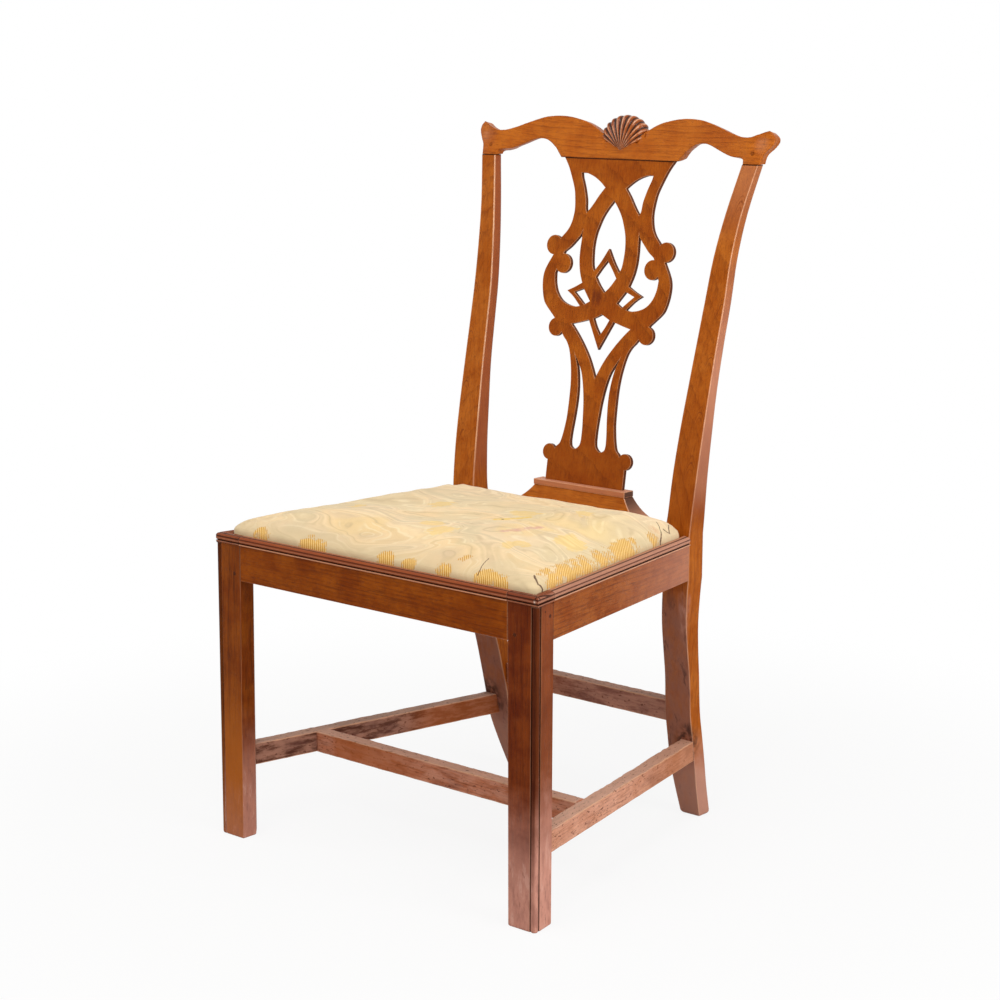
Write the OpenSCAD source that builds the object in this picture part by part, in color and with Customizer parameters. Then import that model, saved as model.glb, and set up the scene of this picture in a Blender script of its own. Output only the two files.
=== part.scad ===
// A side chair: square front legs, raked back posts, a serpentine crest rail with a carved shell,
// a pierced splat standing in a shoe, stretchers in an H, and a stuffed seat that lifts out.
// Millimetres, +Z up, facing -Y. The origin is on the floor, under the middle of the overall box.
// Inside the modules Y is counted from the front of the front legs, and chair() moves it back.

/* [Seat frame] */
// Width over the two front legs
front_w = 568; // [520:1:620]
// Width over the two back posts where the side rails meet them
rear_w = 427; // [390:1:470]
// Depth from the front of the legs to the front of the back posts
seat_d = 402; // [370:1:440]
// Height of the top of the seat rails above the floor
seat_h = 426; // [400:1:460]
// Height of a seat rail from its lower edge to its top
rail_h = 61; // [54:1:75]
// Thickness of the front and side seat rails
rail_t = 24; // [21:1:28]
// Thickness of the rear seat rail
rear_rail_t = 39; // [32:1:42]
// Set back of the rear rail behind the front of the posts
rear_rail_set = 4; // [3:1:6]
// Width of the lip left round the lift-out seat
lip_w = 9; // [7:0.5:11]
// Depth of the rebate that the lift-out seat drops into
rebate_d = 14; // [12:0.5:17]
// Height of the moulding along the top edge of the rails
moulding_h = 12; // [10:0.5:14]
// How far the moulding stands out from the rails
moulding_out = 2.2; // [1.6:0.1:4]
// Height of the small fillet under the moulding
moulding_fillet = 2; // [1:0.5:3]
// Width and depth of the groove that parts the moulding from the lip
moulding_quirk = 1; // [0.5:0.1:1.5]

/* [Front legs] */
// Width of a front leg
leg_w = 44; // [40:1:50]
// Depth of a front leg
leg_d = 38; // [35:1:44]
// Bevel along the inner rear edge of a front leg
leg_bevel = 14; // [8:1:16]
// Radius of the bead worked on the outer front edge
bead_r = 4.2; // [3:0.1:5]
// Width of the grooves on both sides of the bead
quirk_w = 1.2; // [0.8:0.1:2]
// Depth of the grooves on both sides of the bead
quirk_d = 1.5; // [1:0.1:2.5]

/* [Back posts] */
// Height of the joints under the crest rail
joint_h = 918; // [850:1:980]
// Width over the two posts at the floor
post_foot_over = 356; // [330:1:380]
// Width over the two posts at the crest rail
post_top_over = 487; // [470:1:500]
// How far the feet stand behind the posts' front at the seat
foot_rake = 87; // [60:1:100]
// How far the tops stand behind the posts' front at the seat
top_rake = 96; // [70:1:120]
// Width of a post at the floor
post_foot_w = 33; // [30:1:38]
// Width of a post at the seat
post_seat_w = 42; // [39:1:46]
// Width of a post at the crest rail
post_top_w = 26; // [24:1:30]
// Depth of a post at the floor
post_foot_d = 33; // [30:1:42]
// Depth of a post at its slimmest, halfway up the lower leg
post_ankle_d = 31; // [29:1:36]
// Depth of a post at the seat
post_seat_d = 43; // [40:1:48]
// Depth of a post at the crest rail
post_top_d = 18; // [17:0.5:24]
// Bevel along the rear edges of a post, as a share of its depth
post_bevel = 0.25; // [0.1:0.01:0.3]

/* [Crest rail] */
// How far the crest rail's ears stand out beyond the posts
crest_ear = 13.5; // [8:0.5:20]
// Height of the crest rail's humps above the joints, along its lean
crest_h = 59; // [50:1:70]
// Thickness of the crest rail
crest_t = 18; // [17:0.5:24]
// Backward lean of the crest rail in degrees
crest_lean = 12.4; // [8:0.1:16]
// How far the middle of the crest rail is bowed back behind its ends
crest_bow = 13; // [8:0.5:18]
// Length of the shell's ribs
shell_rib_l = 44; // [36:1:50]
// Radius of the scallops along the shell's rim
shell_lobe_r = 5; // [4:0.1:6]
// How far the shell stands out from both faces of the crest rail
shell_proud = 1.5; // [1:0.5:3]
// Number of ribs in the shell
shell_ribs = 9; // [7:2:11]

/* [Splat and shoe] */
// Width of the splat at its widest
splat_w = 227; // [210:1:240]
// Thickness of the splat
splat_t = 6.5; // [6:0.5:9]
// How far the splat's foot stands behind the posts' front at the seat
splat_foot_set = 36.5; // [34:0.5:38]
// Radius of the upper pair of outer scrolls
upper_scroll_r = 14; // [12:0.5:15]
// Radius of the pair of inner scrolls
inner_scroll_r = 14; // [12:0.5:15]
// Radius of the lower pair of outer scrolls
lower_scroll_r = 13; // [11:0.5:14]
// Radius of the scrolls at the foot of the splat
foot_scroll_r = 11.5; // [10:0.5:13]
// Height of the shoe
shoe_h = 36; // [30:1:40]
// Width of the shoe's top
shoe_top_w = 164; // [156:1:180]
// Width of the shoe's base
shoe_base_w = 244; // [220:1:260]
// Set back of the shoe's top edge behind the posts' front at the seat
shoe_top_set = 26; // [22:1:30]
// Set back of the shoe's base behind the posts' front at the seat
shoe_base_set = 5; // [4:1:8]
// Distance from the posts' front at the seat to the back of the shoe
shoe_back_set = 47; // [46:0.5:50]
// Height of the flat edge round the shoe's top
shoe_fillet = 4.5; // [3:0.5:6]
// Step in under that edge
shoe_step = 1; // [0.5:0.1:2]
// Height of the square edge at the shoe's base
shoe_foot = 2; // [1:0.5:4]
// Depth of the slot that holds the splat
shoe_slot_d = 22; // [16:1:28]

/* [Stretchers] */
// Thickness of the stretchers
stretcher_t = 21; // [18:1:23]
// Height of the stretchers
stretcher_h = 30; // [26:1:36]
// Height of the lower edge of the side and cross stretchers above the floor
side_stretcher_z = 94; // [80:1:110]
// Distance from the front of the legs to the cross stretcher
cross_stretcher_y = 138; // [120:1:180]
// Height of the lower edge of the rear stretcher above the floor
rear_stretcher_z = 146; // [135:1:170]
// Set back of the rear stretcher behind the front of the posts there
rear_stretcher_set = 6; // [4:1:8]

/* [Joints] */
// Thickness of the seat rails' tenons
tenon_t = 8; // [7:0.5:9]
// Distance from a rail's outer face to its tenon
tenon_set = 7; // [6:0.5:8]
// Shoulder above and below a rail's tenon
tenon_shoulder = 5; // [3:0.5:8]
// Length of the front rail's tenons
front_tenon_l = 22; // [18:1:26]
// Length of the side rails' tenons in the front legs
side_tenon_l = 17; // [12:1:18]
// Length of the side rails' tenons in the back posts
post_tenon_l = 22; // [16:1:26]
// Length of the rear rail's tenons
rear_tenon_l = 14; // [10:1:16]
// Thickness of the stretchers' tenons
stretcher_tenon_t = 9; // [7:0.5:11]
// Shoulder above and below a stretcher's tenon
stretcher_shoulder = 5; // [3:0.5:8]
// Length of the stretchers' tenons
stretcher_tenon_l = 14; // [10:1:16]
// Length of the posts' and the splat's tenons in the crest rail
crest_tenon_l = 20; // [14:1:24]
// Thickness of the posts' tenons in the crest rail
crest_tenon_t = 8; // [7:0.5:9]
// Width of the posts' tenons in the crest rail
crest_tenon_w = 16; // [12:1:18]
// Height of the splat's tenon in the crest rail
splat_tenon_l = 9; // [6:1:11]
// Thickness of the splat's tenon in the crest rail
splat_tenon_t = 4.5; // [3:0.5:5]
// Width of the splat's tenon in the crest rail
splat_tenon_w = 140; // [100:1:150]
// Length of the cross stretcher's tenons in the side stretchers
cross_tenon_l = 14; // [8:1:16]
// Diameter of the pegs
peg_d = 5; // [4:0.5:6]
// Clearance on each side of a tenon or a peg
joint_gap = 0.1; // [0.05:0.01:0.2]
// Distance from a joint's shoulder to its peg
peg_in = 8; // [6:0.5:10]
// Length of the corner blocks along the rails
block_l = 44; // [36:1:55]

/* [Lift-out seat] */
// Clearance between the covered seat and the lip round it
seat_gap = 1.5; // [1:0.1:2.5]
// Clearance between the covered seat and the back posts
rear_gap = 2; // [1.5:0.5:4]
// Gap under the covered seat where it rests in the rebate
rest_gap = 0.3; // [0.2:0.05:0.5]
// Height of the seat's crown above the rails
crown_h = 31; // [24:1:40]
// Distance from the edge over which the crown rises
crown_run = 134; // [90:1:145]
// Radius of the covered seat's corners
corner_r = 15; // [8:1:20]
// How far the padded sides are drawn in between the corners
draw_in = 2.5; // [1:0.5:5]
// Thickness of the cover cloth
cover_t = 1.2; // [0.8:0.1:1.6]
// Width of the cover turned under the seat
hem_w = 26; // [20:1:30]
// Thickness of the wooden frame inside the seat
slip_t = 18; // [15:1:20]
// Width of that frame's rails
slip_w = 50; // [44:1:60]
// Width of the webbing straps
webbing_w = 50; // [40:1:60]
// Thickness of the webbing
webbing_t = 1.2; // [0.8:0.1:1.6]
// Length of a strap's end on the frame
webbing_land = 28; // [20:1:32]
// Length over which a strap rises to pass over those that cross it
webbing_rise = 5; // [3:0.5:8]
// Number of straps from side to side
cross_straps = 4; // [3:1:5]
// Number of straps from front to back
long_straps = 3; // [2:1:3]
// Thickness of the sackcloth over the webbing
sackcloth_t = 0.6; // [0.4:0.1:1]
// Diameter of the tacks' heads
tack_head_d = 6; // [5:0.5:8]
// Thickness of the tacks' heads
tack_head_t = 0.6; // [0.4:0.1:0.8]
// Diameter of the tacks' shanks
tack_d = 1.5; // [1:0.1:2]
// Length of the tacks
tack_l = 11; // [8:1:13]
// Distance between the tacks that hold the cover
tack_pitch = 42; // [30:1:60]

/* [Hidden] */
$fn = 48;

wood = "sienna";
dark_wood = "saddlebrown";
glue_wood = "burlywood";
cloth = "wheat";

// Points taken along each span of a smooth curve
steps = 4;
// One overrun for cuts that run past a face, and one length that runs past the whole chair
past = 6;
far = 2 * joint_h;

rail_z = seat_h - rail_h;
ledge_z = seat_h - rebate_d;
leg_in = front_w / 2 - leg_w;
side_slope = (front_w - rear_w) / 2 / seat_d;
side_a = atan(side_slope);
// Distance along Y that a width measured square to the side rail takes in X
function side_x(y, inset = 0) = front_w / 2 - side_slope * y - inset / cos(side_a);

// Row by row up a post's lower leg: height, rake, foot depth, seat depth, outer edge, inner edge
lower_leg_shares = [
  [0, 1, 1, 0, 0, 0],
  [0.13, 0.79, 0.8, 0, 0.19, 0.03],
  [0.24, 0.64, 0.6, 0, 0.34, 0.06],
  [0.34, 0.55, 0.35, 0, 0.38, 0.09],
  [0.45, 0.45, 0.12, 0, 0.42, 0.16],
  [0.59, 0.34, 0, 0, 0.55, 0.37],
  [0.71, 0.2, 0, 0.25, 0.68, 0.56],
  [0.82, 0.08, 0, 0.6, 0.8, 0.73],
  [0.93, 0.01, 0, 0.9, 0.93, 0.9],
  [1, 0, 0, 1, 1, 1]
];
// Row by row up a post's upper part: height, rake, seat depth, outer edge, inner edge
upper_post_shares = [
  [0, 0, 1, 0, 0],
  [0.05, 0.015, 0.93, 0.06, 0.08],
  [0.16, 0.09, 0.66, 0.13, 0.12],
  [0.28, 0.2, 0.45, 0.17, 0.18],
  [0.4, 0.325, 0.27, 0.2, 0.26],
  [0.52, 0.46, 0.2, 0.24, 0.33],
  [0.63, 0.585, 0.17, 0.3, 0.4],
  [0.75, 0.695, 0.15, 0.36, 0.515],
  [0.87, 0.83, 0.1, 0.57, 0.715],
  [1, 1, 0, 1, 1]
];

function blend(a, b, share) = a + (b - a) * share;
// A smooth curve through points, and one point of it between its second and third point
function curve_point(a, b, c, d, t) =
  (2 * b + (c - a) * t + (2 * a - 5 * b + 4 * c - d) * t * t + (3 * b - a - 3 * c + d) * t * t * t) / 2;
function curve(points) = let(last = len(points) - 1) concat(
  [for (i = [0:last - 1]) for (k = [0:steps - 1])
    curve_point(points[max(i - 1, 0)], points[i], points[i + 1], points[min(i + 2, last)], k / steps)],
  [points[last]]
);
// The same points in the other order, and mirrored in X
function reversed(points) = [for (i = [len(points) - 1:-1:0]) points[i]];
function mirrored(points) = [for (p = reversed(points)) [-p[0], p[1]]];
// Shares turned into sizes
function scaled(points, w, h) = [for (p = points) [p[0] * w, p[1] * h]];
// A hollow curve from one point to another that sags by a share of its length
function hollow(a, b, sag_share) =
  let(mid = (a + b) / 2 + 2 * sag_share * [a[1] - b[1], b[0] - a[0]])
  [for (k = [0:steps * 2]) let(t = k / steps / 2) a * (1 - t) * (1 - t) + 2 * mid * t * (1 - t) + b * t * t];

// Where a post's front and outer faces are at a height on the lower leg
function leg_share(z, column) = lookup(z / rail_z, [for (row = lower_leg_shares) [row[0], row[column]]]);
function post_front(z) = seat_d + foot_rake * leg_share(z, 1);
function post_outer(z) = blend(post_foot_over, rear_w, leg_share(z, 4)) / 2;
function post_inner(z) =
  blend(post_foot_over / 2 - post_foot_w, rear_w / 2 - post_seat_w, leg_share(z, 5));

crest_w = post_top_over + 2 * crest_ear;
crest_front = seat_d + top_rake + crest_bow;
shoe_top = seat_h + shoe_h;
splat_foot = seat_d + splat_foot_set;
splat_rise = joint_h - shoe_top;
splat_lean = atan((crest_front - splat_foot) / splat_rise);
splat_h = splat_rise / cos(splat_lean);
// The crest rail's outline, as shares of its half width and its height
crest_top_shares = [
  [0, 0.24], [0.06, 0.43], [0.12, 0.57], [0.19, 0.73], [0.24, 0.82], [0.29, 0.88], [0.37, 0.945],
  [0.44, 0.96], [0.5, 0.945], [0.555, 0.905], [0.64, 0.79], [0.72, 0.67], [0.79, 0.595], [0.84, 0.58],
  [0.87, 0.595], [0.9, 0.64], [0.93, 0.69], [0.952, 0.735], [0.966, 0.76]
];
crest_ear_shares = [[0.966, 0.76], [0.988, 0.67], [1, 0.56], [0.997, 0.47], [0.985, 0.37], [0.966, 0.24]];
crest_arch_shares = [
  [0.842, 0.07], [0.82, 0.12], [0.757, 0.145], [0.687, 0.25], [0.614, 0.38], [0.56, 0.425], [0.5, 0.385],
  [0.443, 0.22]
];
// The crest rail's front line seen from above, as shares of its half width and its bow
crest_bow_shares = [
  [0, 0], [0.2, 0.045], [0.4, 0.18], [0.6, 0.4], [0.8, 0.72], [0.9, 0.86], [0.96, 0.7], [1, 0.4]
];
shell_foot_share = 0.24;
// How far the shell's ribs fan out to each side in degrees, and the length of the outermost rib
shell_spread = 62;
shell_last_share = 0.72;
crest_top = joint_h + (shell_foot_share * crest_h + shell_rib_l + shell_lobe_r) * cos(crest_lean);
back_reach = crest_front + (crest_top - joint_h) * tan(crest_lean)
  + (crest_t + shell_proud) * cos(crest_lean);
mid_y = (back_reach - moulding_out) / 2;

// The splat's outer edge from the crest rail down, in three smooth runs between its scrolls
splat_neck_shares = [
  [0.855, 1], [0.793, 0.979], [0.74, 0.956], [0.654, 0.91], [0.624, 0.881], [0.607, 0.84], [0.633, 0.803],
  [0.684, 0.778], [0.767, 0.756]
];
splat_scroll_shares = [
  [0.881, 0.696], [0.948, 0.668], [0.987, 0.646], [1, 0.622], [0.988, 0.592], [0.953, 0.561], [0.903, 0.542],
  [0.758, 0.509]
];
splat_stem_shares = [
  [0.56, 0.449], [0.507, 0.436], [0.454, 0.413], [0.412, 0.377], [0.383, 0.336], [0.37, 0.29], [0.374, 0.213],
  [0.396, 0.17], [0.423, 0.139], [0.449, 0.123], [0.493, 0.114]
];
splat_foot_shares = [[0.612, 0.067], [0.612, 0]];
upper_scroll_share = [0.872, 0.73];
inner_scroll_share = [0.7, 0.675];
lower_scroll_share = [0.709, 0.478];
foot_scroll_share = [0.599, 0.093];
// Piercings in pairs, each as smooth runs that meet at its corners
paired_piercing_shares = [
  [
    [[0.558, 0.955], [0.464, 0.954], [0.339, 0.943], [0.238, 0.928], [0.163, 0.913]],
    [[0.163, 0.913], [0.243, 0.889], [0.327, 0.859], [0.41, 0.834]],
    [[0.41, 0.834], [0.432, 0.848], [0.446, 0.875], [0.492, 0.911], [0.544, 0.941]]
  ],
  [
    [[0.441, 0.779], [0.465, 0.766], [0.537, 0.746], [0.612, 0.727], [0.699, 0.711]],
    [[0.811, 0.644], [0.797, 0.615], [0.753, 0.587], [0.671, 0.564], [0.561, 0.551], [0.44, 0.546],
      [0.366, 0.549]],
    [[0.366, 0.549], [0.478, 0.575], [0.589, 0.593]],
    [[0.589, 0.593], [0.473, 0.606], [0.366, 0.62]],
    [[0.366, 0.62], [0.418, 0.653], [0.446, 0.688], [0.451, 0.721], [0.445, 0.75], [0.441, 0.779]]
  ],
  [
    [[0.33, 0.603], [0.469, 0.59]],
    [[0.469, 0.59], [0.385, 0.573], [0.295, 0.554]],
    [[0.295, 0.554], [0.213, 0.566]],
    [[0.213, 0.566], [0.264, 0.582], [0.33, 0.603]]
  ],
  [
    [[0.352, 0.399], [0.291, 0.36], [0.256, 0.315], [0.245, 0.27], [0.256, 0.216], [0.277, 0.164],
      [0.282, 0.135]],
    [[0.282, 0.135], [0.265, 0.119], [0.198, 0.112], [0.13, 0.125], [0.113, 0.144]],
    [[0.113, 0.144], [0.113, 0.174], [0.123, 0.213], [0.144, 0.266], [0.185, 0.318], [0.241, 0.358],
      [0.352, 0.399]]
  ]
];
// Right halves of the piercings that lie across the middle
middle_piercing_shares = [
  [
    [[0, 0.693], [0.085, 0.667], [0.161, 0.641]],
    [[0.161, 0.641], [0.086, 0.616], [0, 0.595]]
  ],
  [
    [[0, 0.875], [0.079, 0.851], [0.145, 0.826], [0.194, 0.798], [0.232, 0.768], [0.248, 0.733],
      [0.242, 0.698], [0.225, 0.672], [0.194, 0.659]],
    [[0.194, 0.659], [0.097, 0.69], [0, 0.729]]
  ],
  [
    [[0, 0.529], [0.062, 0.521], [0.125, 0.514]],
    [[0.125, 0.514], [0.069, 0.489], [0, 0.466]]
  ],
  [
    [[0, 0.421], [0.093, 0.463], [0.194, 0.509]],
    [[0.194, 0.509], [0.326, 0.5], [0.461, 0.492]],
    [[0.461, 0.492], [0.379, 0.472], [0.258, 0.438], [0.138, 0.398], [0.056, 0.362], [0, 0.333]]
  ]
];

// The upholstery's levels, from the bottom up
seat_bottom = ledge_z + rest_gap;
slip_z = seat_bottom + cover_t;
slip_top = slip_z + slip_t;
sack_z = slip_top + 2 * webbing_t;
stuffing_z = sack_z + sackcloth_t;
crown_z = seat_h + crown_h;
// The covered seat's plan, and the inset at which its crown is nearly flat
seat_front = lip_w + seat_gap;
seat_rear = seat_d - rear_gap;
// How much the plan's corners widen with the inset
corner_growth = 0.35;
corner_steps = 4;
side_steps = 6;
// Rings up the covered seat: inset, height and how much of the draw-in
crown_shares = [
  [0, 0.04, 0], [0, 0.25, 0], [0, 0.435, 0], [0.015, 0.54, 1], [0.05, 0.67, 0.9], [0.12, 0.775, 0.6],
  [0.3, 0.89, 0.3], [0.6, 0.965, 0.1], [1, 0.99, 0]
];

// Moves the whole chair so that the middle of its overall box is over the origin
module chair() {
  translate([0, -mid_y, 0]) children();
}

// Copies for the left-hand side
module on_side(side) {
  mirror([side == "left" ? 1 : 0, 0, 0]) children();
}

// A block given by its lowest and highest corners
module block(low, high) {
  translate(low) cube(high - low);
}

// The edge moulding and the lip in section, outward and upward from the rail's outer face at the ledge
function rim_section() =
  let(
    fillet_z = seat_h - moulding_h + moulding_fillet,
    round_r = (moulding_h - moulding_fillet - moulding_quirk / 2) / 2,
    round_x = moulding_out - round_r,
    round_z = fillet_z + round_r
  )
  concat(
    [[-lip_w, ledge_z], [0, ledge_z], [0, seat_h - moulding_h], [moulding_out, seat_h - moulding_h],
      [moulding_out, fillet_z]],
    [for (a = [-75:15:90]) [round_x + round_r * cos(a), round_z + round_r * sin(a)]],
    [[round_x, seat_h - moulding_quirk], [round_x - moulding_quirk, seat_h - moulding_quirk],
      [round_x - moulding_quirk, seat_h], [-lip_w, seat_h]]
  );
// A whole rail in section
function rail_section() = concat(
  [[-lip_w, seat_h], [-lip_w, ledge_z], [-rail_t, ledge_z], [-rail_t, rail_z], [0, rail_z]],
  [for (p = rim_section()) if (p[1] > ledge_z && p[0] > -lip_w) p]
);

// A section run along the front, and one run back along the right-hand side
module front_run(section, from_x, to_x) {
  translate([from_x, 0, 0])
    rotate([90, 0, 90])
      linear_extrude(to_x - from_x)
        polygon([for (p = section) [-p[0], p[1]]]);
}
module side_run(section, from_l, to_l) {
  translate([front_w / 2, 0, 0])
    rotate([0, 0, side_a])
      translate([0, to_l, 0])
        rotate([90, 0, 0])
          linear_extrude(to_l - from_l) polygon(section);
}
// A box in the side rail's own directions: inset from its outer face, and Y along it
module side_box(low, high) {
  translate([front_w / 2, 0, 0])
    rotate([0, 0, side_a])
      block([-high[0], low[1] / cos(side_a), low[2]], [-low[0], high[1] / cos(side_a), high[2]]);
}

tenon_low = rail_z + tenon_shoulder;
tenon_high = ledge_z - tenon_shoulder;
tenon_back = tenon_set + tenon_t;
rear_tenon_y = seat_d + rear_rail_set + (rear_rail_t - tenon_t) / 2;

// Tenons on the right-hand side, grown by a gap where they cut their mortises
module front_rail_tenon(gap = 0) {
  block([leg_in - past, tenon_set - gap, tenon_low - gap],
    [leg_in + front_tenon_l + gap, tenon_back + gap, tenon_high + gap]);
}
module side_rail_tenon_front(gap = 0) {
  side_box([tenon_set - gap, leg_d - side_tenon_l - gap, tenon_low - gap],
    [tenon_back + gap, leg_d + past, tenon_high + gap]);
}
module side_rail_tenon_rear(gap = 0) {
  side_box([tenon_set - gap, seat_d - past, tenon_low - gap],
    [tenon_back + gap, seat_d + post_tenon_l + gap, tenon_high + gap]);
}
module rear_rail_tenon(gap = 0) {
  block([rear_w / 2 - post_seat_w - past, rear_tenon_y - gap, tenon_low - gap],
    [rear_w / 2 - post_seat_w + rear_tenon_l + gap, rear_tenon_y + tenon_t + gap, tenon_high + gap]);
}

// The side stretcher's outer face runs from the leg's outer rear edge to the post's outer front edge
stretcher_mid_z = side_stretcher_z + stretcher_h / 2;
stretcher_x = side_x(leg_d);
stretcher_run = post_front(stretcher_mid_z) - leg_d;
stretcher_a = atan((stretcher_x - post_outer(stretcher_mid_z)) / stretcher_run);
stretcher_l = stretcher_run / cos(stretcher_a);
// A box in the side stretcher's own directions: inset from its outer face, and length from the leg
module stretcher_box(low, high) {
  translate([stretcher_x, leg_d, 0])
    rotate([0, 0, stretcher_a])
      block([-high[0], low[1], low[2]], [-low[0], high[1], high[2]]);
}
stretcher_tenon_in = (stretcher_t - stretcher_tenon_t) / 2;
module side_stretcher_tenons(gap = 0) {
  low_z = side_stretcher_z + stretcher_shoulder - gap;
  high_z = side_stretcher_z + stretcher_h - stretcher_shoulder + gap;
  stretcher_box([stretcher_tenon_in - gap, -stretcher_tenon_l - gap, low_z],
    [stretcher_tenon_in + stretcher_tenon_t + gap, past, high_z]);
  stretcher_box([stretcher_tenon_in - gap, stretcher_l - past, low_z],
    [stretcher_tenon_in + stretcher_tenon_t + gap, stretcher_l + stretcher_tenon_l + gap, high_z]);
}
cross_end = stretcher_x - (cross_stretcher_y + stretcher_t / 2 - leg_d) * tan(stretcher_a)
  - stretcher_t / cos(stretcher_a);
module cross_stretcher_tenon(gap = 0) {
  block([cross_end - past, cross_stretcher_y + stretcher_tenon_in - gap,
      side_stretcher_z + stretcher_shoulder - gap],
    [cross_end + cross_tenon_l + gap, cross_stretcher_y + stretcher_tenon_in + stretcher_tenon_t + gap,
      side_stretcher_z + stretcher_h - stretcher_shoulder + gap]);
}
rear_stretcher_mid_z = rear_stretcher_z + stretcher_h / 2;
rear_stretcher_y = post_front(rear_stretcher_mid_z) + rear_stretcher_set;
rear_stretcher_end = post_inner(rear_stretcher_mid_z);
module rear_stretcher_tenon(gap = 0) {
  block([rear_stretcher_end - past, rear_stretcher_y + stretcher_tenon_in - gap,
      rear_stretcher_z + stretcher_shoulder - gap],
    [rear_stretcher_end + stretcher_tenon_l + gap,
      rear_stretcher_y + stretcher_tenon_in + stretcher_tenon_t + gap,
      rear_stretcher_z + stretcher_h - stretcher_shoulder + gap]);
}

// Puts a piece in the crest rail's leaning frame: Y through its thickness, Z up its lean
module crest_frame() {
  translate([0, crest_front, joint_h]) rotate([-crest_lean, 0, 0]) children();
}
crest_bow_in = crest_bow * cos(crest_lean);
post_top_mid = post_top_over / 2 - post_top_w / 2;
post_tenon_y = (crest_t - crest_tenon_t) / 2 - crest_bow_in * pow(post_top_mid * 2 / post_top_over, 2);
module post_top_tenon(gap = 0) {
  crest_frame()
    block([post_top_mid - crest_tenon_w / 2 - gap, post_tenon_y - gap, -past],
      [post_top_mid + crest_tenon_w / 2 + gap, post_tenon_y + crest_tenon_t + gap, crest_tenon_l + gap]);
}
// The crest rail's front face where the post's middle meets it
crest_peg_y = -crest_bow_in * lookup(post_top_mid * 2 / crest_w, crest_bow_shares);
module crest_peg(gap = 0) {
  crest_frame()
    translate([post_top_mid, crest_peg_y + crest_t + gap, peg_in + peg_d])
      rotate([90, 0, 0])
        cylinder(d = peg_d + 2 * gap, h = crest_t + 2 * gap);
}

// Puts a piece in the splat's leaning frame: its front face at Y = 0, its foot at Z = 0
module splat_frame() {
  translate([0, splat_foot, shoe_top]) rotate([-splat_lean, 0, 0]) children();
}
module splat_top_tenon(gap = 0) {
  splat_frame()
    block([-splat_tenon_w / 2 - gap, splat_t - splat_tenon_t - gap, splat_h - past],
      [splat_tenon_w / 2 + gap, splat_t + gap, splat_h + splat_tenon_l + gap]);
}
module splat_foot_tenon(gap = 0) {
  foot_half = splat_foot_shares[0][0] * splat_w / 2;
  splat_frame()
    block([-foot_half - gap, -gap, -shoe_slot_d - gap], [foot_half + gap, splat_t + gap, past]);
}

peg_z = tenon_low + peg_d * 0.7;
side_peg_z = (tenon_low + tenon_high) / 2 + peg_in;
// The pegs through the seat rails' tenons on the right-hand side
module rail_pegs_right(gap = 0) {
  peg_l = tenon_back + peg_in;
  translate([leg_in + peg_in, peg_l + gap, peg_z])
    rotate([90, 0, 0]) cylinder(d = peg_d + 2 * gap, h = peg_l + 2 * gap);
  translate([front_w / 2, 0, 0])
    rotate([0, 0, side_a])
      for (y = [leg_d / cos(side_a) - peg_in, seat_d / cos(side_a) + peg_in])
        translate([-peg_l - gap, y, side_peg_z])
          rotate([0, 90, 0]) cylinder(d = peg_d + 2 * gap, h = peg_l + 2 * gap);
}

// A front leg in plan, with the bead and its two grooves on the outer front edge
module leg_plan() {
  bead_x = side_x(bead_r, bead_r);
  zone = 2 * bead_r + quirk_w;
  leg_outline = [
    [leg_in, 0], [front_w / 2, 0], [side_x(leg_d), leg_d], [leg_in + leg_bevel, leg_d],
    [leg_in, leg_d - leg_bevel]
  ];
  difference() {
    polygon(leg_outline);
    translate([front_w / 2 - zone, -past]) square([zone + past, past + quirk_d]);
    translate([side_x(zone) - quirk_d, -past]) square([zone, past + zone]);
  }
  intersection() {
    polygon(leg_outline);
    union() {
      translate([bead_x, bead_r]) circle(r = bead_r);
      translate([bead_x - bead_r, quirk_d]) square([bead_r, zone]);
      translate([bead_x - bead_r, bead_r]) square([2 * bead_r - quirk_d, zone - quirk_w - bead_r]);
    }
  }
}

// The moulded lip on top of a front leg, mitred at the corner
module leg_rim() {
  mitre = tan((90 - side_a) / 2);
  intersection() {
    front_run(rim_section(), leg_in, front_w / 2 + past);
    translate([0, 0, ledge_z])
      linear_extrude(rebate_d)
        polygon([
          [leg_in, -moulding_out], [front_w / 2 + moulding_out / mitre, -moulding_out],
          [front_w / 2 - lip_w / mitre, lip_w], [leg_in, lip_w]
        ]);
  }
  intersection() {
    side_run(rim_section(), -past, far);
    translate([0, 0, ledge_z])
      linear_extrude(rebate_d)
        polygon([
          [front_w / 2 + moulding_out / mitre, -moulding_out], [side_x(leg_d, -moulding_out), leg_d],
          [side_x(leg_d, lip_w), leg_d], [front_w / 2 - lip_w / mitre, lip_w]
        ]);
  }
}

module front_leg(side) {
  color(dark_wood) chair() on_side(side)
    difference() {
      union() {
        linear_extrude(ledge_z) leg_plan();
        leg_rim();
      }
      front_rail_tenon(joint_gap);
      side_rail_tenon_front(joint_gap);
      side_stretcher_tenons(joint_gap);
      rail_pegs_right(joint_gap);
    }
}

// A back post's sizes row by row: how deep it is and where its outer and inner edges are
function low_depth(row) =
  blend(post_ankle_d, post_foot_d, row[2]) + blend(0, post_seat_d - post_ankle_d, row[3]);
function low_outer(row) = blend(post_foot_over, rear_w, row[4]) / 2;
function low_inner(row) = blend(post_foot_over / 2 - post_foot_w, rear_w / 2 - post_seat_w, row[5]);
function high_depth(row) = blend(post_top_d, post_seat_d, row[2]);
function high_outer(row) = blend(rear_w, post_top_over, row[3]) / 2;
function high_inner(row) = blend(rear_w / 2 - post_seat_w, post_top_over / 2 - post_top_w, row[4]);
function low_front(row) = seat_d + foot_rake * row[1];
function high_front(row) = seat_d + top_rake * row[1];
function low_z(row) = rail_z * row[0];
function high_z(row) = blend(seat_h, joint_h, row[0]);

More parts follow.
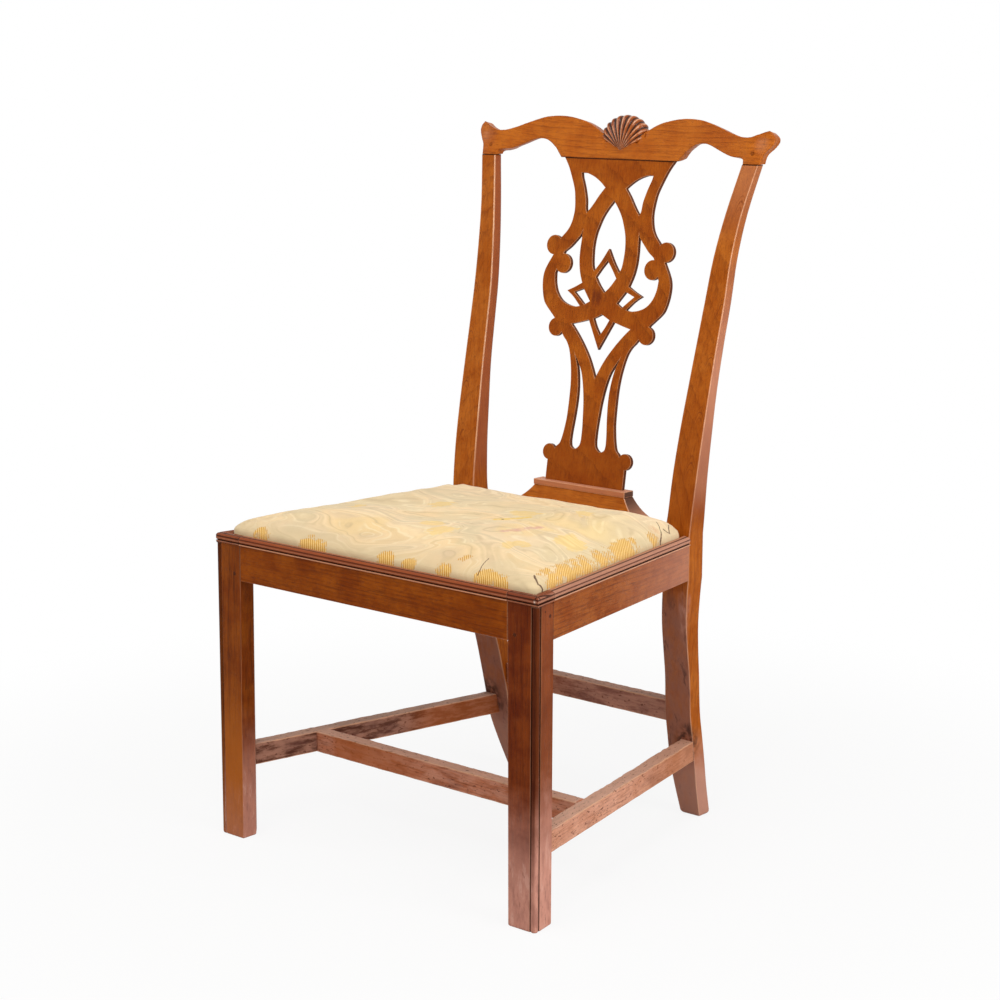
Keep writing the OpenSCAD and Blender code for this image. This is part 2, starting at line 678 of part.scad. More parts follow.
// A post's front and back edges seen from the side
function post_side() = concat(
  curve([for (row = lower_leg_shares) [low_front(row), low_z(row)]]),
  curve([for (row = upper_post_shares) [high_front(row), high_z(row)]]),
  reversed(curve([for (row = upper_post_shares) [high_front(row) + high_depth(row), high_z(row)]])),
  reversed(curve([for (row = lower_leg_shares) [low_front(row) + low_depth(row), low_z(row)]]))
);
// Its outer and inner edges seen from the front
function post_face() = concat(
  curve([for (row = lower_leg_shares) [low_outer(row), low_z(row)]]),
  curve([for (row = upper_post_shares) [high_outer(row), high_z(row)]]),
  reversed(curve([for (row = upper_post_shares) [high_inner(row), high_z(row)]])),
  reversed(curve([for (row = lower_leg_shares) [low_inner(row), low_z(row)]]))
);
// The bevel along its outer or inner rear edge, seen along the bevel's own diagonal
function bevel_at(front, depth, side_edge) = (front + depth * (1 - post_bevel) + side_edge) * sqrt(0.5);
function post_bevel_side(sign) = concat(
  [[-far, 0]],
  curve([for (row = lower_leg_shares)
    [bevel_at(low_front(row), low_depth(row), sign > 0 ? low_outer(row) : -low_inner(row)),
      low_z(row)]]),
  curve([for (row = upper_post_shares)
    [bevel_at(high_front(row), high_depth(row), sign > 0 ? high_outer(row) : -high_inner(row)),
      high_z(row)]]),
  [[-far, joint_h]]
);

// An outline in X and Z, or one in Y and Z, run through the whole chair
module through_y() {
  translate([0, far, 0]) rotate([90, 0, 0]) linear_extrude(2 * far) children();
}
module through_x() {
  translate([-far, 0, 0]) rotate([90, 0, 90]) linear_extrude(2 * far) children();
}

module post_body() {
  intersection() {
    through_x() polygon(post_side());
    through_y() polygon(post_face());
    rotate([0, 0, 45]) through_y() polygon(post_bevel_side(1));
    rotate([0, 0, 135]) through_y() polygon(post_bevel_side(-1));
  }
}

module back_post(side) {
  color(wood) chair() on_side(side)
    difference() {
      union() {
        post_body();
        post_top_tenon();
      }
      side_rail_tenon_rear(joint_gap);
      rear_rail_tenon(joint_gap);
      side_stretcher_tenons(joint_gap);
      rear_stretcher_tenon(joint_gap);
      rail_pegs_right(joint_gap);
      crest_peg(joint_gap);
    }
}

module front_seat_rail() {
  color(dark_wood) chair()
    difference() {
      union() {
        front_run(rail_section(), -leg_in, leg_in);
        for (side = ["left", "right"]) on_side(side) front_rail_tenon();
      }
      for (side = ["left", "right"]) on_side(side) rail_pegs_right(joint_gap);
    }
}

module side_seat_rail(side) {
  color(wood) chair() on_side(side)
    difference() {
      union() {
        intersection() {
          side_run(rail_section(), 0, far);
          block([0, leg_d, 0], [far, seat_d, far]);
        }
        side_rail_tenon_front();
        side_rail_tenon_rear();
      }
      rail_pegs_right(joint_gap);
    }
}

module rear_seat_rail() {
  rail_y = seat_d + rear_rail_set;
  color(dark_wood) chair()
    union() {
      difference() {
        block([-rear_w / 2 + post_seat_w - past, rail_y, rail_z],
          [rear_w / 2 - post_seat_w + past, rail_y + rear_rail_t, seat_h]);
        for (side = ["left", "right"]) on_side(side) post_body();
      }
      for (side = ["left", "right"]) on_side(side) rear_rail_tenon();
    }
}

// The crest rail seen square to its face
module crest_outline() {
  half = crest_w / 2;
  top_half = concat(curve(scaled(crest_top_shares, half, crest_h)),
    curve(scaled(crest_ear_shares, half, crest_h)), [[post_top_over / 2, -past]]);
  bottom_half = concat([[post_top_over / 2 - post_top_w, -past]],
    curve(scaled(crest_arch_shares, half, crest_h)),
    [[splat_neck_shares[0][0] * splat_w / 2, -past]]);
  right = concat(top_half, bottom_half);
  polygon(concat(right, mirrored(right)));
}

// The shell seen square to the crest rail: ribs that fan out to a scalloped rim
module shell_outline() {
  translate([0, shell_foot_share * crest_h]) {
    rim = [for (i = [0:shell_ribs - 1])
      let(
        t = 2 * i / (shell_ribs - 1) - 1,
        rib = shell_rib_l * blend(1, shell_last_share, t * t)
      )
      [rib * sin(shell_spread * t), rib * cos(shell_spread * t)]];
    polygon(concat([[0, 0]], rim));
    for (p = rim) translate(p) circle(r = shell_lobe_r);
  }
}

module crest_rail() {
  half = crest_w / 2;
  front_line = concat(curve([for (p = crest_bow_shares) [p[0] * half, -p[1] * crest_bow_in]]),
    [[half + past, -crest_bow_shares[len(crest_bow_shares) - 1][1] * crest_bow_in]]);
  back_line = [for (p = front_line) [p[0], p[1] + crest_t]];
  color(wood) chair()
    difference() {
      crest_frame() {
        intersection() {
          through_y() crest_outline();
          translate([0, 0, -far])
            linear_extrude(2 * far)
              polygon(concat(mirrored(front_line), front_line, reversed(back_line),
                [for (p = back_line) [-p[0], p[1]]]));
        }
        translate([0, crest_t + shell_proud, 0])
          rotate([90, 0, 0]) linear_extrude(crest_t + 2 * shell_proud) shell_outline();
      }
      block([-far, 0, 0], [far, far, joint_h]);
      for (side = ["left", "right"]) on_side(side) {
        post_top_tenon(joint_gap);
        crest_peg(joint_gap);
      }
      splat_top_tenon(joint_gap);
    }
}

// A piercing from its smooth runs
function piercing(runs) = [for (run = runs) for (p = curve(scaled(run, splat_w / 2, splat_h))) p];
module scroll(share, r) {
  for (sign = [-1, 1]) translate([sign * share[0] * splat_w / 2, share[1] * splat_h]) circle(r = r);
}
module splat_outline() {
  half = splat_w / 2;
  right = concat(
    [[splat_neck_shares[0][0] * half, splat_h + past]],
    curve(scaled(splat_neck_shares, half, splat_h)), curve(scaled(splat_scroll_shares, half, splat_h)),
    curve(scaled(splat_stem_shares, half, splat_h)), scaled(splat_foot_shares, half, splat_h)
  );
  difference() {
    union() {
      polygon(concat(right, mirrored(right)));
      scroll(upper_scroll_share, upper_scroll_r);
      scroll(lower_scroll_share, lower_scroll_r);
      scroll(foot_scroll_share, foot_scroll_r);
    }
    difference() {
      union() {
        for (runs = paired_piercing_shares) {
          polygon(piercing(runs));
          polygon(mirrored(piercing(runs)));
        }
        for (runs = middle_piercing_shares) polygon(concat(piercing(runs), mirrored(piercing(runs))));
      }
      scroll(inner_scroll_share, inner_scroll_r);
    }
  }
}

module splat() {
  color(wood) chair()
    union() {
      difference() {
        splat_frame()
          translate([0, splat_t, 0]) rotate([90, 0, 0]) linear_extrude(splat_t) splat_outline();
        block([-far, 0, joint_h], [far, far, far]);
      }
      splat_top_tenon();
      splat_foot_tenon();
    }
}

module shoe() {
  sag_share = 0.08;
  cove_top = shoe_top - shoe_fillet;
  front_y = seat_d + shoe_base_set;
  top_y = seat_d + shoe_top_set;
  back_y = seat_d + shoe_back_set;
  side_profile = concat(
    [[back_y, seat_h], [back_y, shoe_top], [top_y, shoe_top], [top_y, cove_top]],
    hollow([top_y + shoe_step, cove_top], [front_y, seat_h + shoe_foot], sag_share),
    [[front_y, seat_h]]
  );
  end_half = concat(
    [[shoe_base_w / 2, seat_h]],
    hollow([shoe_base_w / 2, seat_h + shoe_foot], [shoe_top_w / 2 - shoe_step, cove_top], sag_share),
    [[shoe_top_w / 2, cove_top], [shoe_top_w / 2, shoe_top]]
  );
  color(dark_wood) chair()
    difference() {
      intersection() {
        through_x() polygon(side_profile);
        through_y() polygon(concat(end_half, mirrored(end_half)));
      }
      splat_foot_tenon(joint_gap);
    }
}

module side_stretcher(side) {
  color(wood) chair() on_side(side)
    difference() {
      union() {
        difference() {
          stretcher_box([0, -past, side_stretcher_z],
            [stretcher_t, stretcher_l + stretcher_tenon_l, side_stretcher_z + stretcher_h]);
          block([0, 0, 0], [far, leg_d, far]);
          post_body();
        }
        side_stretcher_tenons();
      }
      cross_stretcher_tenon(joint_gap);
    }
}

module cross_stretcher() {
  color(dark_wood) chair()
    union() {
      difference() {
        block([-cross_end - past, cross_stretcher_y, side_stretcher_z],
          [cross_end + past, cross_stretcher_y + stretcher_t, side_stretcher_z + stretcher_h]);
        for (side = ["left", "right"]) on_side(side)
          stretcher_box([0, 0, side_stretcher_z - past],
            [stretcher_t, stretcher_l, side_stretcher_z + stretcher_h + past]);
      }
      for (side = ["left", "right"]) on_side(side) cross_stretcher_tenon();
    }
}

module rear_stretcher() {
  color(dark_wood) chair()
    union() {
      difference() {
        block([-rear_stretcher_end - past, rear_stretcher_y, rear_stretcher_z],
          [rear_stretcher_end + past, rear_stretcher_y + stretcher_t, rear_stretcher_z + stretcher_h]);
        for (side = ["left", "right"]) on_side(side) post_body();
      }
      for (side = ["left", "right"]) on_side(side) rear_stretcher_tenon();
    }
}

// Three-cornered blocks glued behind the joints of the seat frame, level with the ledge
module front_block(side) {
  color(glue_wood) chair() on_side(side)
    translate([0, 0, rail_z])
      linear_extrude(ledge_z - rail_z)
        difference() {
          polygon([
            [leg_in - block_l, rail_t], [leg_in, rail_t], [side_x(leg_d, rail_t), leg_d],
            [side_x(leg_d + block_l, rail_t), leg_d + block_l]
          ]);
          polygon([
            [leg_in, 0], [leg_in, leg_d - leg_bevel], [leg_in + leg_bevel, leg_d], [far, leg_d], [far, 0]
          ]);
        }
}
module rear_block(side) {
  rail_y = seat_d + rear_rail_set;
  color(glue_wood) chair() on_side(side)
    difference() {
      translate([0, 0, rail_z])
        linear_extrude(ledge_z - rail_z)
          polygon([
            [side_x(seat_d - block_l, rail_t), seat_d - block_l], [side_x(seat_d, rail_t), seat_d],
            [rear_w / 2 - post_seat_w, seat_d], [rear_w / 2 - post_seat_w, rail_y],
            [rear_w / 2 - post_seat_w - block_l, rail_y]
          ]);
      post_body();
    }
}

module rail_pegs() {
  color(dark_wood) chair()
    for (side = ["left", "right"]) on_side(side) rail_pegs_right();
}
module crest_pegs() {
  color(dark_wood) chair()
    for (side = ["left", "right"]) on_side(side) crest_peg();
}

// One ring of the covered seat: right-hand corners and side, then the same mirrored
function corner_arc(y, r, inset, from_a, to_a) =
  [for (k = [0:corner_steps]) let(a = blend(from_a, to_a, k / corner_steps))
    [side_x(y, lip_w + seat_gap + inset + r) + r * cos(a), y + r * sin(a)]];
function seat_plan(inset, draw = 0) =
  let(
    r = corner_r + inset * corner_growth,
    front = corner_arc(seat_front + inset + r, r, inset, -90, side_a),
    rear = corner_arc(seat_rear - inset - r, r, inset, side_a, 90),
    a = front[corner_steps],
    b = rear[0],
    side = [for (k = [1:side_steps - 1]) let(t = k / side_steps)
      a + (b - a) * t - [4 * t * (1 - t) * draw, 0]],
    half = concat(front, side, rear),
    c = half[len(half) - 1],
    back = [for (k = [1:side_steps - 1]) let(t = k / side_steps)
      [c[0] * (1 - 2 * t), c[1] - 4 * t * (1 - t) * draw]],
    f = half[0],
    face = [for (k = [1:side_steps - 1]) let(t = k / side_steps)
      [-f[0] * (1 - 2 * t), f[1] + 4 * t * (1 - t) * draw]]
  )
  concat(half, back, mirrored(half), face);
ring_count = len(seat_plan(0));
function seat_ring(inset, z, draw = 0) = [for (p = seat_plan(inset, draw)) [p[0], p[1], z]];

// A closed skin over a stack of rings, with a point or a flat face at each end
module rings(stack, first, last) {
  n = ring_count;
  top = len(stack) * n;
  points = concat([for (ring = stack) for (p = ring) p], [first, last]);
  strips = [for (k = [0:len(stack) - 2]) for (i = [0:n - 1]) let(j = (i + 1) % n)
    each [[k * n + i, k * n + j, (k + 1) * n + j], [k * n + i, (k + 1) * n + j, (k + 1) * n + i]]];
  first_cap = [for (i = [0:n - 1]) [top, (i + 1) % n, i]];
  last_cap = [for (i = [0:n - 1]) [top + 1, top - n + i, top - n + (i + 1) % n]];
  polyhedron(points = points, faces = concat(strips, first_cap, last_cap));
}

crown_y = (seat_front + seat_rear) / 2;
cover_rise = crown_z - seat_bottom;
// The cover's inside, a cloth's thickness in from its outside
function inner_ring(i, gap = 0) =
  let(
    row = crown_shares[i],
    under = crown_shares[i - 1],
    over = crown_shares[min(i + 1, len(crown_shares) - 1)],
    run = (over[0] - under[0]) * crown_run,
    rise = (over[1] - under[1]) * cover_rise,
    size = sqrt(run * run + rise * rise)
  )
  seat_ring(row[0] * crown_run + (cover_t + gap) * rise / size,
    seat_bottom + row[1] * cover_rise - (cover_t + gap) * run / size, row[2] * draw_in);
last_ring = len(crown_shares) - 1;

module seat_cover() {
  outside = concat(
    [seat_ring(hem_w, seat_bottom), seat_ring(cover_t / 2, seat_bottom)],
    [for (row = crown_shares)
      seat_ring(row[0] * crown_run, seat_bottom + row[1] * cover_rise, row[2] * draw_in)]
  );
  inside = concat(
    [seat_ring(hem_w, slip_z), seat_ring(cover_t, slip_z)],
    [for (i = [1:last_ring]) inner_ring(i)]
  );
  color(cloth) chair()
    rings(concat(reversed(outside), inside), [0, crown_y, crown_z], [0, crown_y, crown_z - cover_t]);
}

module stuffing() {
  levels = [for (i = [last_ring:-1:3]) inner_ring(i, rest_gap)];
  skirt = seat_ring(crown_shares[3][0] * crown_run + cover_t + rest_gap, stuffing_z, draw_in);
  color(cloth) chair()
    rings(concat(levels, [skirt]), [0, crown_y, crown_z - cover_t - rest_gap], [0, crown_y, stuffing_z]);
}

// The wooden frame inside the seat, its corners halved together
slip_mid = slip_z + slip_t / 2;
module slip_plan() {
  polygon(seat_plan(cover_t + rest_gap / 2));
}
module slip_front_zone() {
  translate([-far, 0]) square([2 * far, seat_front + cover_t + slip_w]);
}
module slip_rear_zone() {
  translate([-far, seat_rear - cover_t - slip_w]) square([2 * far, far]);
}
module slip_side_zone() {
  inner = seat_front + cover_t + slip_w;
  polygon([[side_x(0, inner), 0], [side_x(seat_d, inner), seat_d], [far, seat_d], [far, 0]]);
}
module slip_end_rail(zone) {
  color(glue_wood) chair()
    difference() {
      translate([0, 0, slip_z])
        linear_extrude(slip_t)
          intersection() {
            slip_plan();
            if (zone == "front") slip_front_zone();
            if (zone == "rear") slip_rear_zone();
          }
      for (side = ["left", "right"]) on_side(side)
        translate([0, 0, slip_mid]) linear_extrude(slip_t) slip_side_zone();
    }
}
module slip_side_rail(side) {
  color(glue_wood) chair() on_side(side)
    difference() {
      translate([0, 0, slip_z])
        linear_extrude(slip_t)
          intersection() {
            slip_plan();
            slip_side_zone();
          }
      translate([0, 0, slip_mid - slip_t])
        linear_extrude(slip_t)
          union() {
            slip_front_zone();
            slip_rear_zone();
          }
    }
}

// Straps tacked over the frame, those from side to side below those from front to back
strap_inset = seat_front + cover_t + slip_w - webbing_land;
strap_front = seat_front + cover_t + slip_w - webbing_land;
strap_rear = seat_rear - cover_t - slip_w + webbing_land;
cross_free = strap_rear - strap_front - 2 * webbing_land - webbing_w;
function cross_strap_y(i) =
  strap_front + webbing_land + cross_free * (i + 0.5) / cross_straps + webbing_w / 2;
function cross_strap_end(i) = side_x(cross_strap_y(i) + webbing_w / 2, strap_inset);
long_span = side_x(strap_rear, strap_inset + webbing_land) - webbing_w / 2;
function long_strap_x(i) = blend(-long_span, long_span, (i + 0.5) / long_straps);
module cross_webbing() {
  color(glue_wood) chair()
    for (i = [0:cross_straps - 1])
      block([-cross_strap_end(i), cross_strap_y(i) - webbing_w / 2, slip_top],
        [cross_strap_end(i), cross_strap_y(i) + webbing_w / 2, slip_top + webbing_t]);
}
module long_webbing() {
  under = [
    [strap_front, slip_top], [strap_front + webbing_land - webbing_rise, slip_top],
    [strap_front + webbing_land, slip_top + webbing_t], [strap_rear - webbing_land, slip_top + webbing_t],
    [strap_rear - webbing_land + webbing_rise, slip_top], [strap_rear, slip_top]
  ];
  over = [for (p = reversed(under)) [p[0], p[1] + webbing_t]];
  color(glue_wood) chair()
    for (i = [0:long_straps - 1])
      translate([long_strap_x(i) - webbing_w / 2, 0, 0])
        rotate([90, 0, 90]) linear_extrude(webbing_w) polygon(concat(under, over));
}

// A tack that points down from its head, or up when turned over
module tack() {
  translate([0, 0, -tack_head_t]) cylinder(d = tack_head_d, h = tack_head_t);
  translate([0, 0, -tack_l]) cylinder(d = tack_d, h = tack_l - tack_head_t);
}
strap_tack_shares = [-0.33, 0, 0.33];
module webbing_tacks() {
  color("dimgray") chair() {
    for (i = [0:cross_straps - 1]) for (share = strap_tack_shares) for (sign = [-1, 1])
      translate([sign * (cross_strap_end(i) - tack_head_d), cross_strap_y(i) + share * webbing_w,
          slip_top + webbing_t])
        tack();
    for (i = [0:long_straps - 1]) for (share = strap_tack_shares)
      for (y = [strap_front + tack_head_d, strap_rear - tack_head_d])
        translate([long_strap_x(i) + share * webbing_w, y, slip_top + webbing_t]) tack();
  }
}

module sackcloth() {
  color(cloth) chair()
    translate([0, 0, sack_z]) linear_extrude(sackcloth_t) polygon(seat_plan(cover_t + tack_head_d));
}

// Tacks through the turned-under cover, clear of the ledge and of the corner blocks
tack_line = seat_front + hem_w - tack_head_d;
module cover_tacks() {
  clear_l = block_l + tack_pitch / 2;
  front_n = floor((leg_in - clear_l) / tack_pitch);
  rear_n = floor((rear_w / 2 - post_seat_w - clear_l) / tack_pitch);
  side_from = leg_d + clear_l;
  side_n = floor((seat_d - clear_l - side_from) / tack_pitch);
  color("dimgray") chair()
    translate([0, 0, seat_bottom]) {
      for (i = [-front_n:front_n]) translate([i * tack_pitch, tack_line, 0]) rotate([180, 0, 0]) tack();
      for (i = [-rear_n:rear_n])
        translate([i * tack_pitch, seat_rear - hem_w + tack_head_d, 0]) rotate([180, 0, 0]) tack();
      for (i = [0:side_n]) for (side = ["left", "right"]) on_side(side)
        translate([side_x(side_from + i * tack_pitch, tack_line), side_from + i * tack_pitch, 0])
          rotate([180, 0, 0]) tack();
    }
}

front_leg("left");  // front_leg_left
front_leg("right");  // front_leg_right
back_post("left");  // back_post_left
back_post("right");  // back_post_right
front_seat_rail();
side_seat_rail("left");  // left_seat_rail
side_seat_rail("right");  // right_seat_rail
rear_seat_rail();
crest_rail();
splat();
shoe();
side_stretcher("left");  // left_stretcher
side_stretcher("right");  // right_stretcher
cross_stretcher();
rear_stretcher();
front_block("left");  // front_left_block
front_block("right");  // front_right_block
rear_block("left");  // rear_left_block
rear_block("right");  // rear_right_block
rail_pegs();
crest_pegs();
slip_end_rail("front");  // slip_front_rail
slip_end_rail("rear");  // slip_rear_rail
slip_side_rail("left");  // slip_left_rail
slip_side_rail("right");  // slip_right_rail
cross_webbing();
long_webbing();
webbing_tacks();
sackcloth();
stuffing();
seat_cover();
cover_tacks();
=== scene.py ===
import math
import bpy
import bmesh
from mathutils import Matrix, Vector, noise


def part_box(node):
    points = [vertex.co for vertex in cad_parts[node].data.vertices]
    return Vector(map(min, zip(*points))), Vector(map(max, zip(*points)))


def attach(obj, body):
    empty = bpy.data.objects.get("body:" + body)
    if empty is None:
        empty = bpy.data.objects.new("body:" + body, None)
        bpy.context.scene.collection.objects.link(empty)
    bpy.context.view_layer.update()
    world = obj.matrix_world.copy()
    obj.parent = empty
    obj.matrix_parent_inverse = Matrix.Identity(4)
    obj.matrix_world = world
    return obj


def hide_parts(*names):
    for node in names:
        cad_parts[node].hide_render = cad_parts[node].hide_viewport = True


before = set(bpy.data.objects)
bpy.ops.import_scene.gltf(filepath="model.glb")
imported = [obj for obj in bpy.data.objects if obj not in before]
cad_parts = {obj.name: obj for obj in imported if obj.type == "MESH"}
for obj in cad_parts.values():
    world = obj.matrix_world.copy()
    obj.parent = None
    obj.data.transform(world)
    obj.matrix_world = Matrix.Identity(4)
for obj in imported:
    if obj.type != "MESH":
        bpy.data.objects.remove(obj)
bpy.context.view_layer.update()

# Studio: a pale seamless floor that fades into a white surround, with large soft lamps overhead and
# to the right, and the camera standing to the right of the chair's front.
scene = bpy.context.scene
scene.view_settings.view_transform = "Standard"

camera = bpy.data.objects.new("studio_camera", bpy.data.cameras.new("studio_camera"))
scene.collection.objects.link(camera)
camera.data.lens = 81.467
camera.data.sensor_width = 36
camera.matrix_world = (
    Matrix.Translation((1.96462, -2.28756, 1.05859))
    @ Matrix.Rotation(math.radians(40.7943), 4, "Z")
    @ Matrix.Rotation(math.radians(78.9098), 4, "X")
    @ Matrix.Rotation(math.radians(0.2023), 4, "Z")
)
scene.camera = camera


def tint(*tone):
    # A colour as it looks on screen, 0 to 255, in the light values that shaders use
    return (*[v / 255 / 12.92 if v <= 10 else ((v / 255 + 0.055) / 1.055) ** 2.4 for v in tone], 1)


class Shade:
    # One socket of a finish. Sums on it add Math nodes, and node() adds any other node beside it
    def __init__(self, tree, socket=None):
        self.tree = tree
        self.socket = socket

    def node(self, kind, sockets=None, give=0, stops=None, **settings):
        made = self.tree.nodes.new("ShaderNode" + kind)
        for name, value in settings.items():
            setattr(made, name, value)
        if stops:
            for place, _ in stops[1:-1]:
                made.color_ramp.elements.new(place)
            made.color_ramp.elements[0].position = stops[0][0]
            made.color_ramp.elements[-1].position = stops[-1][0]
            for element, (_, colour) in zip(made.color_ramp.elements, stops):
                element.color = tint(*colour)
        for name, value in (sockets or {}).items():
            if isinstance(value, Shade):
                self.tree.links.new(value.socket, made.inputs[name])
            else:
                made.inputs[name].default_value = value
        return Shade(self.tree, made.outputs[give] if made.outputs else None)

    def maths(self, operation, *others):
        return self.node("Math", dict(enumerate((self, *others))), operation=operation)

    def __add__(self, other):
        return self.maths("ADD", other)

    __radd__ = __add__

    def __sub__(self, other):
        return self.maths("SUBTRACT", other)

    def __rsub__(self, other):
        return self.node("Math", {0: other, 1: self}, operation="SUBTRACT")

    def __mul__(self, other):
        return self.maths("MULTIPLY", other)

    __rmul__ = __mul__

    def __truediv__(self, other):
        return self.maths("DIVIDE", other)

    def __pow__(self, other):
        return self.maths("POWER", other)

    def __abs__(self):
        return self.maths("ABSOLUTE")

    def about(self, value, size):
        # 1 where this is close to a value, 0 beyond its size
        return abs(self - value).between(size, size * 0.4)

    def between(self, low, high):
        return self.node("MapRange", {0: self, 1: low, 2: high}, interpolation_type="SMOOTHSTEP")

    def wave(self, length):
        # Threads that lie side by side: up to 1 and back to 0 over each length
        return (self * (2 * math.pi / length)).maths("SINE") * 0.5 + 0.5

    def mix(self, first, second):
        # This mask as the share of the second colour over the first
        return self.node("Mix", {0: self, 6: first, 7: second}, 2, data_type="RGBA")

    def vector(self, operation, *others, give=0):
        return self.node("VectorMath", dict(enumerate((self, *others))), give, operation=operation)

    def facing(self):
        # The surface's direction, as three parts
        return self.node("NewGeometry", give=1).parts()

    def parts(self):
        split = self.node("SeparateXYZ", {0: self}).socket.node
        return [Shade(self.tree, out) for out in split.outputs]

    def cloud(self, x, y, z, detail=2, roughness=0.5, distortion=0):
        return self.node("TexNoise", {
            "Vector": self.node("CombineXYZ", {0: x, 1: y, 2: z}), "Scale": 1, "Detail": detail,
            "Roughness": roughness, "Distortion": distortion})

    def near(self, place, size, soft=0.5):
        # A soft round spot: 1 at a place, 0 beyond its size
        return self.vector("DISTANCE", place, give=1).between(size, size * (1 - soft))

    def line(self, first, last, size):
        # A thin line between two places: 1 along it, 0 beyond its size
        run = Vector(last) - Vector(first)
        from_first = self.vector("SUBTRACT", first)
        share = from_first.vector("DOT_PRODUCT", run / run.length_squared, give=1)
        share = self.node("Clamp", {0: share})
        onto = self.node("VectorMath", {0: run, "Scale": share}, operation="SCALE")
        return from_first.vector("DISTANCE", onto, give=1).between(size, size * 0.3)

    def skin(self, colour, rough, height, strength, depth, more=None):
        # The finished surface, with a bump of this strength and depth
        bump = self.node("Bump", {"Height": height, "Strength": strength, "Distance": depth})
        sockets = {"Base Color": colour, "Roughness": rough, "Normal": bump, **(more or {})}
        self.node("OutputMaterial", {"Surface": self.node("BsdfPrincipled", sockets)})


def sees(start):
    # 1 for what the camera sees, also in a mirror or through glass, and 0 for what only gives light
    rays = start.node("LightPath").socket.node.outputs
    seen = Shade(start.tree, rays["Is Camera Ray"]) + Shade(start.tree, rays["Is Glossy Ray"])
    return (seen + Shade(start.tree, rays["Is Transmission Ray"])).maths("MINIMUM", 1.0)


surround = bpy.data.worlds.new("white_surround")
surround.use_nodes = True
surround.node_tree.nodes.clear()
sky = Shade(surround.node_tree)
lit = sky.node("Background", {"Color": (1, 1, 1, 1), "Strength": 0.5})
white = sky.node("Background", {"Color": (1, 1, 1, 1), "Strength": 1.0})
sky.node("OutputWorld", {"Surface": sky.node("MixShader", {0: sees(sky), 1: lit, 2: white})})
scene.world = surround


def blank(name):
    # A new finish and its first, empty socket
    finish = bpy.data.materials.new(name)
    finish.use_nodes = True
    finish.node_tree.nodes.clear()
    return finish, Shade(finish.node_tree)


bpy.ops.mesh.primitive_plane_add(size=60, location=(0, 0, 0))
floor = bpy.context.object
floor.name = "studio_floor"
floor_paint, paint = blank("pale_floor")
far_out = paint.node("TexCoord", give=3).vector("LENGTH", give=1).between(0.5, 1.3)
matt = paint.node("BsdfDiffuse", {"Color": tint(222, 220, 218)})
bright = paint.node("Emission", {"Color": (1, 1, 1, 1), "Strength": 1.0})
shown = paint.node("MixShader", {0: sees(paint) * (far_out * 0.12 + 0.88), 1: matt, 2: bright})
paint.node("OutputMaterial", {"Surface": shown})
floor.data.materials.append(floor_paint)


def soft_lamp(name, place, aim, size, power):
    lamp = bpy.data.objects.new(name, bpy.data.lights.new(name, "AREA"))
    scene.collection.objects.link(lamp)
    lamp.data.shape = "SQUARE"
    lamp.data.size = size
    lamp.data.energy = power
    lamp.location = place
    lamp.rotation_mode = "QUATERNION"
    lamp.rotation_quaternion = (Vector(aim) - Vector(place)).to_track_quat("-Z", "Y")


soft_lamp("overhead_lamp", (0.4, -1.3, 2.8), (0, 0.1, 0.5), 1.8, 38)
soft_lamp("right_lamp", (3.0, -0.1, 1.5), (0, 0, 0.45), 1.4, 44)
soft_lamp("left_lamp", (-2.6, -1.2, 1.5), (0, 0, 0.5), 1.6, 8)
soft_lamp("front_lamp", (2.5, -2.7, 1.9), (0, 0, 0.5), 0.7, 14)

# Front legs: square walnut posts whose outer front edge carries a bead between two grooves, with
# the seat's moulded lip worked on top and the inner rear edge bevelled off. The feet are worn pale.


def chosen(item):
    bpy.ops.object.select_all(action="DESELECT")
    item.select_set(True)
    bpy.context.view_layer.objects.active = item


def open_mesh(piece, action="SELECT"):
    chosen(piece)
    bpy.ops.object.mode_set(mode="EDIT")
    bpy.ops.mesh.select_all(action=action)


def close_mesh():
    bpy.ops.mesh.select_all(action="DESELECT")
    bpy.ops.object.mode_set(mode="OBJECT")


def worked(piece, kind, **settings):
    # One modifier, set and applied
    chosen(piece)
    made = piece.modifiers.new(kind.lower(), kind)
    for name, value in settings.items():
        setattr(made, name, value)
    bpy.ops.object.modifier_apply(modifier=made.name)


def copy_of(node, name, whole=True):
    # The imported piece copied, with its loose triangles joined and its flat faces made whole
    piece = bpy.data.objects.new(name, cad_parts[node].data.copy())
    scene.collection.objects.link(piece)
    piece.data.materials.clear()
    open_mesh(piece)
    bpy.ops.mesh.remove_doubles(threshold=0.00002)
    if whole:
        bpy.ops.mesh.dissolve_limited(angle_limit=math.radians(0.4))
    close_mesh()
    return piece


def ease_edges(piece, width, where=None, steps=2, least=28, slot=1):
    # Takes the sharpness off the standing edges, or only off those that a test on place picks
    while len(piece.data.materials) < 2:
        piece.data.materials.append(None)
    open_mesh(piece, "DESELECT")
    bpy.ops.mesh.select_mode(type="EDGE")
    mesh = bmesh.from_edit_mesh(piece.data)
    for edge in mesh.edges:
        if len(edge.link_faces) != 2 or edge.calc_face_angle_signed(0) < math.radians(least):
            continue
        middle = (edge.verts[0].co + edge.verts[1].co) / 2
        facing = (edge.link_faces[0].normal + edge.link_faces[1].normal).normalized()
        along = (edge.verts[1].co - edge.verts[0].co).normalized()
        if where is None or where(middle, facing, along):
            edge.select_set(True)
    bmesh.update_edit_mesh(piece.data)
    bpy.ops.mesh.bevel(offset=width, segments=steps, profile=0.5, clamp_overlap=False, material=slot)
    close_mesh()


def slice_at(piece, axis, places):
    # Extra cross-sections of a piece, so that wear can be shaped into it
    square = Vector([1 if i == axis else 0 for i in range(3)])
    open_mesh(piece)
    for place in places:
        bpy.ops.mesh.select_all(action="SELECT")
        bpy.ops.mesh.bisect(plane_co=square * place, plane_no=square)
    close_mesh()


